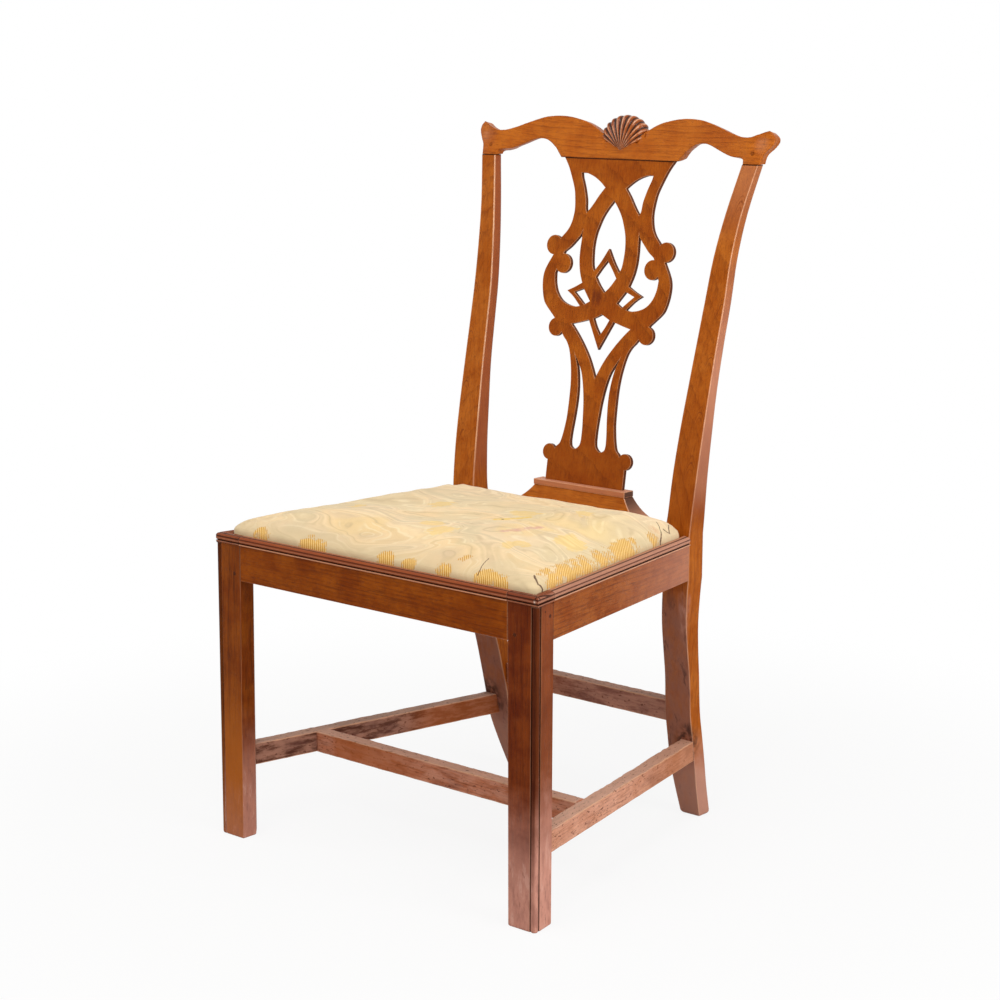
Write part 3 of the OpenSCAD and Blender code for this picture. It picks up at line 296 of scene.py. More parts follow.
def cut_across(piece, axis, step):
    # A cross-section at every step along a piece
    along = [v.co[axis] for v in piece.data.vertices]
    places = [min(along) + step / 2]
    while places[-1] + step < max(along):
        places.append(places[-1] + step)
    slice_at(piece, axis, places)


def shape_by_hand(piece, move):
    # Moves each point by what move(place, facing) gives
    mesh = piece.data
    moved = [v.co + move(v.co.copy(), v.normal.copy()) for v in mesh.vertices]
    for vertex, place in zip(mesh.vertices, moved):
        vertex.co = place
    mesh.update()


def round_foot(piece, radius):
    # Wears the arris round the foot, more towards the floor
    slice_at(piece, 2, [radius * share for share in (0.12, 0.35, 0.7, 1)])
    low = [v.co for v in piece.data.vertices if v.co.z < 0.0001]
    first, last = [Vector([pick(c[i] for c in low) for i in range(3)]) for pick in (min, max)]
    middle = (first + last) / 2
    half = (last.x - first.x) / 2

    def wear(at, facing):
        if at.z > radius:
            return Vector()
        inset = (radius - math.sqrt(max(0, radius ** 2 - (radius - at.z) ** 2))) * 0.8
        return Vector((middle.x - at.x, middle.y - at.y, 0)) * (inset / half)

    shape_by_hand(piece, wear)


def smooth(piece, angle=38):
    chosen(piece)
    bpy.ops.object.shade_smooth_by_angle(angle=math.radians(angle))
    worked(piece, "WEIGHTED_NORMAL", keep_sharp=True)


def dressed(piece, node, finishes, body="frame"):
    while len(piece.data.materials) < len(finishes):
        piece.data.materials.append(None)
    for index in range(len(piece.data.materials)):
        piece.data.materials[index] = finishes[min(index, len(finishes) - 1)]
    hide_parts(*([node] if isinstance(node, str) else node))
    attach(piece, body)


class Coats:
    # The colour of a finish, over which each call lays another tone where its mask is
    def __init__(self, colour):
        self.colour = colour

    def __call__(self, mask, *tone):
        self.colour = mask.mix(self.colour, tint(*tone))


def wood(name, grain, pale, deep, line, turn=0, shift=(0, 0, 0), rings=0.0042, marks=None, gloss=0.32,
         lustre=0.02, worn=0.0):
    # Old polished wood. The grain runs along one axis, turned about Z; growth rings are cut through
    # by the faces, fine pores and fibres lie along the grain, and marks() adds a piece's own stains,
    # wear and painted light and shade
    finish, start = blank(name)
    place = start.node("TexCoord", give=3)
    board = {"Vector": place, "Location": shift, "Rotation": (0, 0, math.radians(turn))}
    x, y, z = start.node("Mapping", board).parts()
    u, v, w = {"x": (x, y, z), "y": (y, x, z), "z": (z, x, y)}[grain]
    broad = start.cloud(u * 3, v * 14, w * 14, 2)
    streak = start.cloud(u * 8, v * 130, w * 130, 4, 0.62)
    fibre = start.cloud(u * 30, v * 480, w * 480, 3, 0.65)
    pore = start.cloud(u * 110, v * 1100, w * 1100, 2, 0.6)
    blotch = start.cloud(x * 26, y * 26, z * 26, 4, 0.6)
    wide = (v + 0.045) + (broad - 0.5) * 0.045
    deepness = (w + 0.16) + (streak - 0.5) * 0.004
    ring = ((wide * wide * 0.35 + deepness * deepness).maths("SQRT") + u * 0.02) / rings
    late = (ring.maths("FRACT") ** 4) * broad.between(0.3, 0.58)
    lay = Coats(blotch.between(0.3, 0.7).mix(tint(*pale), tint(*deep)))
    lay(streak.between(0.46, 0.7) * 0.55, *deep)
    lay(late * streak.between(0.3, 0.55) * 0.5, *line)
    lay(fibre.between(0.5, 0.72) * 0.42, *line)
    lay(fibre.between(0.5, 0.3) * 0.3, *pale)
    lay(pore.between(0.58, 0.7) * 0.4, *line)
    dull = blotch.between(0.35, 0.7)
    if marks:
        dull = marks(start, place, (u, v, w), lay, dull, blotch, streak)
    # Pale streaks on the eased edges: worn polish and a painted highlight
    if worn:
        lay(streak.between(0.3, 0.6) * worn, 226, 170, 128)
    height = fibre * 0.5 + blotch * 1.2 + pore.between(0.58, 0.7) * -0.6 + late * -0.4
    start.skin(lay.colour, dull * 0.14 + gloss, height, 0.4, 0.0007,
               {"Coat Weight": lustre, "Coat Roughness": 0.2, "Specular IOR Level": 0.04})
    return finish


# The heights of the seat moulding's foot and of the three lines painted along it: two dark lines of
# painted shade for its grooves, and a pale painted highlight on the bead between them
MOULD_FOOT, LOW_LINE, MID_LINE, TOP_LINE = 0.4125, 0.4163, 0.4194, 0.4222


def leg_marks(start, place, grained, lay, dull, blotch, streak):
    # Kicked and mopped feet: the polish goes grey-pink from a hand's height down to the floor. The
    # bead's grooves and the moulding's quirk are painted dark as shade, the rails' joints are dark, the
    # side faces are painted lighter than the front, and a painted highlight glints on the corner bead
    x, y, z = place.parts()
    out = abs(x)
    facing = start.facing()
    side = abs(facing[0]).between(0.3, 0.8)
    on_right = x.between(-0.2, 0.2)
    # Painted light: the right leg's side faces are laid more orange, as lit from the right
    lay(side * on_right * 0.22, 172, 94, 46)
    scuff = z - side * 0.03 - on_right * 0.02 + (1 - on_right) * (1 - side) * 0.075
    scuff = (scuff + (blotch - 0.5) * 0.08).between(0.17, 0.01)
    golden = (1 - on_right) * (1 - side) * z.between(0.24, 0.12)
    lay(golden * 0.5, 186, 104, 34)
    lay(scuff * (0.4 + x.between(-0.2, 0.2) * 0.34 + side * 0.18), 204, 146, 128)
    dirt = start.cloud(x * 70, y * 70, z * 22, 4, 0.7)
    lay(dirt.between(0.46, 0.66) * scuff * 0.5, 126, 80, 70)
    lay(dirt.between(0.46, 0.34) * scuff * 0.25, 226, 184, 168)
    chips = start.cloud(x * 160, y * 160, z * 60, 3, 0.7).between(0.62, 0.72) * scuff
    lay(chips * 0.5, 92, 52, 42)
    bead = out.between(0.2738, 0.2746) * y.between(-0.2607, -0.2615) * z.between(0.4145, 0.4135)
    lay(bead * 0.55 * (1 - scuff), 52, 18, 6)
    # Painted shade: the bead's grooves are laid dark
    groove = out.about(0.2746, 0.0008) * y.between(-0.262, -0.266)
    groove = groove + y.about(-0.2614, 0.0008) * out.between(0.276, 0.28)
    lay(groove * 0.8 * z.between(0.4145, 0.4135), 30, 10, 4)
    # Painted light: the lip is laid paler on the side faces than on the front
    lip = z.between(MOULD_FOOT, 0.4155)
    lay.colour = (lip * 0.5).mix(lay.colour, side.mix(tint(136, 74, 52), tint(178, 128, 106)))
    quirk = (y.about(-0.2677, 0.0015) + out.about(0.2814, 0.0013)).maths("MINIMUM", 1)
    quirk = z.between(0.42, 0.4235) * quirk
    joint = out.about(0.2366, 0.0012) * (1 - side) + y.about(-0.233, 0.0009) * side
    joint = z.between(0.3645, 0.3655) * joint
    # A painted highlight along the middle of the bead
    lay(z.about(MID_LINE, 0.0012) * 0.35, 206, 140, 108)
    # Painted shade in the quirk and the moulding's grooves, and the dark rails' joints
    groove_shade_and_joints = quirk + z.about(LOW_LINE, 0.0008) + z.about(TOP_LINE, 0.0011) + joint * 0.9
    lay(groove_shade_and_joints.maths("MINIMUM", 0.85), 40, 14, 6)
    # A painted highlight glints on the corner bead
    glint = start.cloud(x * 260, y * 260, z * 260, 2, 0.6).between(0.5, 0.58)
    glint = glint * place.near((0.2815, -0.2715, 0.4195), 0.0035, 0.7)
    lay(glint * 0.8, 250, 226, 206)
    for hole in ((0.2809, -0.2523, 0.4041), (0.2809, -0.2418, 0.3928), (0.2809, -0.2474, 0.3877)):
        lay(place.near(hole, 0.0015), 30, 12, 6)
    return dull + scuff * 1.6


# How much wider a leg gets up to the rail, where its inner face stands from the middle, where the left
# moulding starts, and the share of it that is rubbed away
LEG_SWELL, LEG_INNER, LIP_ROOT, RUBBED = 0.0036, 0.24, -0.2808, 0.85


def swell(at, facing):
    # The legs swell on their inner side from the foot up to the rail, and the front rail's ends follow
    if abs(abs(at.x) - LEG_INNER) >= 0.0006:
        return Vector()
    return Vector((-math.copysign(LEG_SWELL * min(1, at.z / 0.365), at.x), 0, 0))


for side in ("left", "right"):
    pale, deep = [((140, 70, 14), (116, 50, 8)), ((122, 54, 14), (92, 32, 6))][side == "right"]
    leg = copy_of("front_leg_" + side, "beaded_leg_" + side)
    shape_by_hand(leg, swell)
    if side == "left":
        # The left side's moulding has been rubbed nearly flush
        shape_by_hand(leg, lambda at, facing: Vector(((LIP_ROOT - at.x) * RUBBED, 0, 0))
                      if at.x < LIP_ROOT and at.z > MOULD_FOOT else Vector())
    ease_edges(leg, 0.0009, where=lambda at, facing, along: at.z > 0.02 and max(map(abs, along)) > 0.99)
    round_foot(leg, 0.003)
    smooth(leg)
    leg_wood = wood("front_leg_wood_" + side, "z", pale, deep, (48, 14, 3), marks=leg_marks,
                    rings=0.006, shift=(0.02, 0.03 if side == "left" else 0.01, 0.2))
    # The eased edges are paler and glossier: wear and a painted highlight along the arrises
    leg_edge = wood("front_leg_edge_" + side, "z", (150, 80, 34), (118, 54, 20), (60, 24, 10),
                    marks=leg_marks, worn=0.1, gloss=0.2, lustre=0.3)
    dressed(leg, "front_leg_" + side, [leg_wood, leg_edge])

# Seat rails: the front and side rails carry the moulded lip along their top edge and a rebate for the
# lift-out seat; the plain rear rail stands between the back posts under the shoe.
for node, grain, turn in (
    ("front_seat_rail", "x", 0), ("left_seat_rail", "y", 9.947), ("right_seat_rail", "y", -9.947),
    ("rear_seat_rail", "x", 0),
):
    rail = copy_of(node, node + "_moulded")
    turned = Matrix.Rotation(math.radians(turn), 4, "Z")
    if node == "front_seat_rail":
        shape_by_hand(rail, swell)
    if grain == "x":
        outer = min(v.co.y for v in rail.data.vertices)
    else:
        outer = max(((turned @ v.co).x for v in rail.data.vertices), key=abs)
    if node == "left_seat_rail":
        def rub(at, facing):
            past = min(0, (turned @ at).x - (outer + 0.0058))
            return turned.inverted() @ Vector((-past * RUBBED, 0, 0)) if at.z > MOULD_FOOT else Vector()

        shape_by_hand(rail, rub)

    def rail_marks(start, place, grained, lay, dull, blotch, streak, node=node, outer=outer):
        # The moulding's quirk and fillet, measured in from the rail's outermost line, with painted
        # shade in the quirk and grooves and painted highlights on the bead and fillet
        _, y, z = place.parts()
        curl = start.cloud(grained[0] * 50, grained[1] * 50, grained[2] * 70, 4, 0.7, 1.2)
        lay(curl.between(0.5, 0.66) * 0.35, 98, 40, 8)
        if grain == "y":
            lay(y.between(-0.12, 0.14) * 0.35, 214, 156, 134)
        if node == "rear_seat_rail":
            return dull
        inward = abs(grained[1] - (outer + (0.02 if grain == "x" else 0.03)))
        front = node == "front_seat_rail"
        lip, fillet = [((190, 142, 120), (182, 122, 88)), ((150, 78, 50), (176, 112, 82))][front]
        lay(z.between(MOULD_FOOT, 0.4155) * 0.6, *lip)
        flat = inward.between(0.0058, 0.0064) * z.between(0.42, 0.424)
        lay(flat * 0.6, *fillet)
        # Painted shade in the quirk and the groove under the bead
        quirk = inward.about(0.0052, 0.0016) * z.between(0.42, 0.4235)
        lay((quirk + z.about(LOW_LINE, 0.0008)).maths("MINIMUM", 0.85), 44, 16, 8)
        # A painted highlight on the fillet
        lay(z.about(0.415, 0.0009) * 0.6, 216, 158, 122)
        # Painted shade in the top groove, and a painted highlight along the bead
        lay(z.about(TOP_LINE, 0.0011) * 0.8, 58, 22, 10)
        lay(z.about(MID_LINE, 0.0012) * 0.35, 206, 140, 108)
        return dull

    ease_edges(rail, 0.0006)
    smooth(rail)
    tones = [((162, 88, 32), (136, 64, 18)), ((150, 74, 8), (122, 52, 3))][grain == "x"]
    rail_wood = wood(node + "_wood", grain, *tones, (70, 26, 4), turn=turn, marks=rail_marks,
                     shift=(0.03, 0.02, -0.34 if grain == "x" else -0.3), rings=0.005)
    # The eased edges are paler and glossier: wear and a painted highlight along the arrises
    rail_edge = wood(node + "_edge", grain, (172, 104, 62), (138, 74, 38), (72, 34, 16), turn=turn,
                     shift=(0.03, 0.02, -0.3), marks=rail_marks, worn=0.12, gloss=0.2, lustre=0.3)
    dressed(rail, node, [rail_wood, rail_edge])

# Back posts: each sawn in one piece from floor to crest rail, square at the front and with rounded
# rear edges, raked back above and below the seat.


def post_marks(start, place, grained, lay, dull, blotch, streak):
    x, y, z = place.parts()
    low = z.between(0.37, 0.3)
    front = start.facing()[1].between(-0.4, -0.8)
    worn_low = start.cloud(grained[0] * 22, grained[1] * 60, grained[2] * 60, 4, 0.65)
    lay(low * front * (worn_low.between(0.3, 0.6) * 0.35 + 0.5), 146, 98, 82)
    lay(low * front * worn_low.between(0.56, 0.68) * 0.7, 84, 52, 44)
    # Painted light: the right post's outer side face is laid pale as lit from the right, and the left
    # post's inner side face is laid darker as painted shade
    across = start.facing()[0].between(0.5, 0.9)
    on_right = x.between(-0.1, 0.1)
    lay(across * on_right * z.between(0.44, 0.5) * (z.between(0.84, 0.62) * 0.46 + 0.06), 206, 150, 128)
    lay(across * (1 - on_right) * z.between(0.44, 0.5) * 0.7, 146, 78, 50)
    lay(on_right * z.between(0.66, 0.46) * z.between(0.43, 0.45) * 0.5, 122, 52, 6)
    lay(on_right * z.between(0.8, 0.9) * 0.3, 196, 134, 98)
    middle = abs(x) - (z - 0.43) * 0.0635 - 0.1995
    arcs = z + (middle * middle) * 265 + (blotch - 0.5) * 0.03 + streak * 0.004
    arcs = abs((arcs / 0.07).maths("FRACT") - 0.5)
    arcs = arcs.between(0.028, 0.008) + arcs.about(0.12, 0.02) * 0.6
    arcs = arcs * z.between(0.45, 0.5) * blotch.between(0.3, 0.44) * (1 - across)
    lay(arcs * 0.6, 108, 48, 16)
    # A painted highlight: a pale patch low on each post where a facet turns towards the light
    for side in (-1, 1):
        facet = place.line((side * 0.205, 0.134, 0.34), (side * 0.196, 0.143, 0.16), 0.012)
        lay(facet * 0.55 * worn_low.between(0.6, 0.35), 196, 146, 130)
    scuff = (z + (blotch - 0.5) * 0.1).between(0.15, 0.05)
    lay(scuff * (0.8 - front * 0.35), 192, 142, 124)
    # Grime and painted shade where the stretchers meet the posts
    grime_and_shade = place.near((0.185, 0.165, 0.12), 0.035) + place.near((-0.185, 0.165, 0.12), 0.035)
    grime_and_shade = grime_and_shade * start.cloud(x * 120, y * 120, z * 120).between(0.35, 0.6)
    lay(grime_and_shade * 0.75, 48, 26, 18)
    joint = abs(z - 0.918).between(0.0012, 0.0003)
    lay(joint * 0.9, 50, 20, 8)
    return dull + low * 0.9


def arris_marks(start, place, grained, lay, dull, blotch, streak):
    # The front arris stays pale, worn and with a painted highlight, above the seat only
    z = place.parts()[2]
    patchy = start.cloud(grained[0] * 30, grained[1] * 30, grained[2] * 30, 3, 0.6).between(0.35, 0.6)
    lay(z.between(0.52, 0.45) * 0.85 + (1 - patchy) * z.between(0.4, 0.5) * 0.4, 156, 84, 40)
    return post_marks(start, place, grained, lay, dull, blotch, streak)


for side in ("left", "right"):
    post = copy_of("back_post_" + side, "raked_post_" + side)
    cut_across(post, 2, 0.03)
    ease_edges(post, 0.0035, steps=3, least=20, slot=0,
               where=lambda at, facing, along: facing.y > 0.3 and abs(along.z) > 0.6)
    ease_edges(post, 0.0016 if side == "left" else 0.0012,
               where=lambda at, facing, along: facing.y < -0.3 and abs(along.z) > 0.6)
    round_foot(post, 0.006)
    smooth(post, 34)
    sign = 1 if side == "right" else -1
    post_wood = wood("post_wood_" + side, "z", (178, 98, 30), (156, 76, 14), (98, 40, 8),
                     shift=(0.05 * sign, -0.04 * sign, 0.1 * sign), marks=post_marks, rings=0.0065)
    # The front arris's finish is paler and glossier: wear and a painted highlight along it
    tones = [((240, 192, 150), (222, 160, 112)), ((222, 160, 118), (196, 128, 84))][side == "right"]
    post_edge = wood("post_edge_" + side, "z", *tones, (130, 74, 36), marks=arris_marks, worn=0.3,
                     gloss=0.14, lustre=0.6)
    dressed(post, "back_post_" + side, [post_wood, post_edge])

# Stretchers: square bars tenoned between the legs in an H, with one more between the back posts.
# Two centuries of boots have rounded their top edges, most of all on the right-hand one.


def stretcher_marks(start, place, grained, lay, dull, blotch, streak):
    u, v, w = grained
    top = start.facing()[2].between(0.45, 0.8)
    dust = start.cloud(u * 24, v * 110, w * 110, 4, 0.65)
    lay(dust.between(0.38, 0.62) * 0.5, 208, 152, 128)
    # Grime and painted shade: dark patches, fewer on the tops than on the sides
    grime_and_shade = start.cloud(u * 16, v * 40, w * 40, 3, 0.6).between(0.52, 0.66)
    lay(grime_and_shade * (0.4 - top * 0.25), 110, 72, 64)
    # Painted light and wear: the top faces are laid paler, as lit from above and rubbed
    lay(top * 0.55, 222, 182, 160)
    pit = start.cloud(u * 130, v * 300, w * 300, 2, 0.6).between(0.62, 0.68)
    lay(pit * 0.75, 84, 46, 36)
    polished = place.parts()[0]
    polished = polished.between(0.02, -0.14) * polished.between(-0.208, -0.192) * (1 - top)
    lay(polished * 0.65, 166, 88, 42)
    rubbed = place.parts()
    rubbed = rubbed[0].between(0.14, 0.18) * rubbed[1].between(-0.04, 0.12) * (1 - top * 0.6)
    lay(rubbed * 0.6, 170, 104, 66)
    knot = place.near((-0.075, -0.02, 0.115), 0.006, 0.6)
    lay(knot * 0.8, 70, 34, 24)
    return dull + 1.4


for node, grain, turn, wear, pale, deep in (
    ("left_stretcher", "y", 7, 0.0009, (104, 64, 50), (82, 46, 34)),
    ("right_stretcher", "y", -7, 0.0022, (222, 164, 136), (190, 128, 98)),
    ("cross_stretcher", "x", 0, 0.0009, (196, 124, 92), (162, 92, 62)),
    ("rear_stretcher", "x", 0, 0.0011, (158, 106, 90), (130, 84, 72)),
):
    bar = copy_of(node, node + "_worn")
    axis = {"x": 0, "y": 1}[grain]
    cut_across(bar, axis, 0.006)
    ease_edges(bar, 0.0016, where=lambda at, facing, along: abs(along[axis]) > 0.6, steps=3)
    top = max(v.co.z for v in bar.data.vertices)
    middle = sum((v.co for v in bar.data.vertices), Vector()) / len(bar.data.vertices)

    def kicked(at, facing):
        nearness = max(0, 1 - (top - at.z) / 0.011)
        bite = noise.noise(at * 40 + Vector((3, 7, 1))) * 0.35 + noise.noise(at * 170) * 0.6 + 0.35
        amount = wear * nearness * max(0, bite)
        small = noise.noise(at * 90 + Vector((9, 2, 5))) * 0.0003
        inward = Vector((math.copysign(0.35, middle.x - at.x) if axis == 1 else 0, 0, -1))
        return inward * amount + facing * small

    shape_by_hand(bar, kicked)
    smooth(bar, 50)
    bar_wood = wood(node + "_wood", grain, pale, deep, (74, 38, 26), turn=turn,
                    marks=stretcher_marks, gloss=0.42)
    # The eased edges are paler and glossier: wear and a painted highlight along the arrises
    bar_edge = wood(node + "_edge", grain, (204, 154, 128), (166, 114, 88), (84, 50, 36), turn=turn,
                    marks=stretcher_marks, worn=0.4, gloss=0.38, lustre=0.12)
    dressed(bar, node, [bar_wood, bar_edge])

# Crest rail: one board sawn in a double hump that dips to the middle, hollowed along its face so that
# its middle stands back, with softly rounded ears over the back posts.
CREST_Y, CREST_Z, LEAN_TURN = 0.2403, 0.918, math.radians(12.4)
LEAN = Matrix.Translation((0, CREST_Y, CREST_Z)) @ Matrix.Rotation(-LEAN_TURN, 4, "X")
TO_CREST = LEAN.inverted()


def crest_marks(start, place, grained, lay, dull, blotch, streak):
    z = place.parts()[2]
    # A painted highlight on each ear
    ear_highlight = place.near((0.243, 0.232, 0.946), 0.016, 0.9)
    ear_highlight = ear_highlight + place.near((-0.246, 0.232, 0.946), 0.014, 0.9)
    lay(ear_highlight * (0.16 + streak.between(0.5, 0.62) * 0.14), 230, 184, 150)
    lay(z.between(0.9194, 0.9184) * 0.8, 44, 16, 6)
    root = place.near((0, 0.235, 0.933), 0.03, 0.8) * streak.between(0.4, 0.6)
    lay(root * 0.35, 96, 44, 16)
    return dull


crest = copy_of("crest_rail", "humped_crest_rail", whole=False)


def unit(value):
    return max(0, min(1, value))


def soften(piece, share, times=14):
    # Rubs the piece down by the share that share(place, facing) gives at each point
    rubbed = piece.vertex_groups.new(name="rubbed_%d" % times)
    for vertex in piece.data.vertices:
        rubbed.add([vertex.index], unit(share(vertex.co, vertex.normal)), "REPLACE")
    worked(piece, "SMOOTH", factor=0.5, iterations=times, vertex_group=rubbed.name)


def depth_in(local):
    # How deep a place lies behind the crest rail's hollowed face
    return local.y + 0.0127 * min(1, abs(local.x) / 0.2435) ** 2


def crest_wear(at, facing):
    # The back edges are rasped off, the ears more, and the joints stay tight
    local = TO_CREST @ at
    tight = unit((at.z - 0.9195) / 0.004)
    ear = min(0.5, (abs(local.x) - 0.225) / 0.02)
    return tight * max(0.14, min(1, (depth_in(local) - 0.004) / 0.008), ear)


crest.data.remesh_voxel_size = 0.0013
chosen(crest)
bpy.ops.object.voxel_remesh()
soften(crest, crest_wear)

# The lower edge's height in every column along the crest rail
COLUMN = 0.002
lower_edge = {}
for vertex in crest.data.vertices:
    local = TO_CREST @ vertex.co
    column = round(local.x / COLUMN)
    lower_edge[column] = min(lower_edge.get(column, 1), local.z)


def work_ear(at, facing):
    # The lower edge is undercut, the humps stand a little proud, each ear is hollowed in front below
    # its rolled tip, and its back sweeps in to the post
    local = TO_CREST @ at
    out = abs(local.x)
    square = TO_CREST.to_3x3() @ facing
    move = Vector()
    behind = unit(depth_in(local) / 0.018)
    column = round(local.x / COLUMN)
    edge = sum(lower_edge.get(column + step, 0) for step in range(-3, 4)) / 7
    if 0.085 < out < 0.206:
        above = max(0, 1 - max(0, local.z - edge) / 0.018)
        ends = min(1, (out - 0.085) / 0.03, (0.206 - out) / 0.02)
        move.z = 0.006 * behind ** 2 * above * ends
    if 0.03 < out < 0.225:
        ends = min(1, (out - 0.03) / 0.04, (0.225 - out) / 0.03)
        move.z += 0.0022 * ends * unit((local.z - 0.022) / 0.02)
    if out < 0.2:
        return LEAN.to_3x3() @ move
    if square.y < -0.3 and local.z > 0.006:
        trough = math.exp(-(((out - 0.241) / 0.012) ** 2))
        move.y += 0.0026 * trough * min(1, (local.z - 0.006) / 0.02)
    low = max(0, 1 - (at.z - CREST_Z) / 0.034)
    move.y -= 0.0048 * behind * low * min(1, (out - 0.2) / 0.015)
    over = max(0, out - (0.2425 + 0.001 * low))
    move.x -= math.copysign(over * (0.12 + 0.75 * low) * behind, local.x)
    tip = unit((out - 0.236) / 0.02) * unit((local.z - 0.008) / 0.015)
    tip = tip * tip * (3 - 2 * tip)
    move.x += math.copysign(0.0036 * tip, local.x)
    if local.x < 0:
        move.z += 0.0036 * tip
    return LEAN.to_3x3() @ move


shape_by_hand(crest, work_ear)
soften(crest, lambda at, facing: 0.6 if abs(at.x) > 0.222 and at.z > 0.924 else 0, 5)
crest_wood = wood("crest_wood", "x", (186, 102, 28), (166, 82, 16), (108, 46, 10),
                  shift=(0.02, 0.1, -0.9), marks=crest_marks, rings=0.0055, gloss=0.26, lustre=0.1)

# Shell: carved from the crest rail's own wood, eleven ribs that fan out from one point to a scalloped
# rim, with old polish and painted shade dark in the valleys and painted highlights along the ribs.
RIBS = 11
FAN = math.radians(64)
SHELL_ROOT = 0.0125
SHELL_WIDE = 1.15


def shell_reach(angle):
    # How far the rim is from the root in one direction
    share = angle / FAN
    if abs(share) > 1:
        return max(0.006, 0.0345 * (1 - (abs(share) - 1) * 2.4))
    scallop = abs(math.cos(share * RIBS / 2 * math.pi)) ** 0.7
    return 0.0492 * (1 - 0.27 * share * share) + 0.0026 * scallop


def shell_point(direction, share):
    # A point that share of the way from the shell's middle to its rim
    middle = Vector((0, 0.0235))
    low, high = 0, 0.06
    for _ in range(22):
        reach = (low + high) / 2
        at = middle + direction * reach
        inside = at.length < shell_reach(math.atan2(at.x, at.y))
        low, high = (reach, high) if inside else (low, reach)
    return middle + direction * low * share


def tuck_core(at, facing):
    # The crest rail's own wood behind the shell is drawn in, so that the carving covers it
    local = TO_CREST @ at
    flat = Vector((local.x / SHELL_WIDE, local.z - SHELL_ROOT))
    arch = 0.0142 + 0.55 * abs(local.x) ** 0.9
    reach = shell_reach(math.atan2(flat.x, flat.y)) if flat.length > 1e-6 else 0.01
    proud = local.y < -0.0004 or local.y > 0.0184
    if flat.y < 0 or abs(local.x) > 0.06 or flat.length > reach * 1.12:
        return Vector()
    if not (proud or local.z > arch + 0.004):
        return Vector()
    drawn = Vector((local.x * 0.84, 0.009 + (local.y - 0.009) * 0.72, SHELL_ROOT + flat.y * 0.84))
    return LEAN @ drawn - at


shape_by_hand(crest, tuck_core)
soften(crest, lambda at, facing: 0.8 if abs(at.x) < 0.052 and at.z > 0.93 else 0, 6)
chosen(crest)
bpy.ops.object.shade_smooth()
dressed(crest, "crest_rail", [crest_wood])
bpy.ops.object.select_all(action="DESELECT")
bpy.ops.mesh.primitive_uv_sphere_add(segments=176, ring_count=72, rotation=(math.radians(90), 0, 0))
shell = bpy.context.object
shell.name = "carved_shell"
bpy.ops.object.transform_apply(location=True, rotation=True, scale=True)


def carve(at, facing):
    across = Vector((at.x, at.z))
    out = min(1, across.length)
    flat = shell_point(across.normalized() if out > 1e-6 else Vector((0, 1)), out)
    angle, reach = math.atan2(flat.x, flat.y), flat.length
    share = angle / FAN
    rib = 1 - abs(2 * abs((share * RIBS / 2 + 0.5) % 1 - 0.5)) ** 2
    rib *= min(1, reach / 0.03) * (1 if abs(share) < 1 else 0.3)
    round_off = (1 - out ** 7) ** 0.5
    body = 0.0098 + 0.0018 * (1 - out * out)
    thick = (body + 0.003 * rib) * round_off
    wide = 1 + (SHELL_WIDE - 1) * min(1, reach / 0.03)
    return LEAN @ Vector((flat.x * wide, 0.0098 + math.copysign(thick, at.y), SHELL_ROOT + flat.y)) - at


shape_by_hand(shell, carve)
open_mesh(shell)
bpy.ops.mesh.remove_doubles(threshold=0.00001)
bpy.ops.mesh.normals_make_consistent(inside=False)
close_mesh()
bpy.ops.object.shade_smooth()


def shell_marks(start, place, grained, lay, dull, blotch, streak):
    # Valleys by their angle about the root, measured in the crest rail's own lean
    x, y, z = place.parts()
    up = (z - CREST_Z) * math.cos(LEAN_TURN) + (y - CREST_Y) * math.sin(LEAN_TURN) - SHELL_ROOT
    angle = (x / SHELL_WIDE).maths("ARCTAN2", up) / FAN
    phase = abs((angle * (RIBS / 2) + 0.5).maths("FRACT") - 0.5) * 2
    valley = phase.between(0.42, 0.86)
    # Painted shade and old polish darken the valleys
    lay(valley * 0.92, 34, 12, 4)
    # Painted highlights along the ribs
    lay(phase.between(0.3, 0.06) * streak.between(0.35, 0.55) * 0.6, 238, 186, 148)
    return dull - 0.3


shell_wood = wood("shell_wood", "z", (172, 88, 26), (130, 58, 12), (80, 30, 8), marks=shell_marks,
                  gloss=0.12, lustre=0.4)
dressed(shell, "crest_rail", [shell_wood])

# Splat: a thin board pierced with interlaced straps and a lozenge, let into the crest rail and the
# shoe. Its back edges are chamfered so that the straps look light from the front.


def splat_marks(start, place, grained, lay, dull, blotch, streak):
    z = place.parts()[2]
    burn = place.near((-0.0133, 0.214, 0.726), 0.022, 0.9) * streak.between(0.35, 0.55)
    lay(burn * 0.75, 86, 30, 16)
    burn = place.near((0.005, 0.222, 0.79), 0.05, 0.9) * blotch.between(0.4, 0.6)
    lay(burn * 0.3, 110, 50, 20)
    low = (z + (blotch - 0.5) * 0.1).between(0.6, 0.47)
    lay(low * 0.35, 120, 54, 12)
    joint = z.between(0.9162, 0.9174)
    lay(joint * 0.85, 40, 14, 6)
    facing = start.facing()
    sawn = facing[1].between(-0.72, -0.45)
    lay(sawn * 0.72, 74, 38, 22)
    return dull


SPLAT_LEAN = Matrix.Translation((0, 0.1678, 0.462)) @ Matrix.Rotation(math.radians(-9.034), 4, "X")
TO_SPLAT = SPLAT_LEAN.inverted()
splat = copy_of("splat", "pierced_splat")
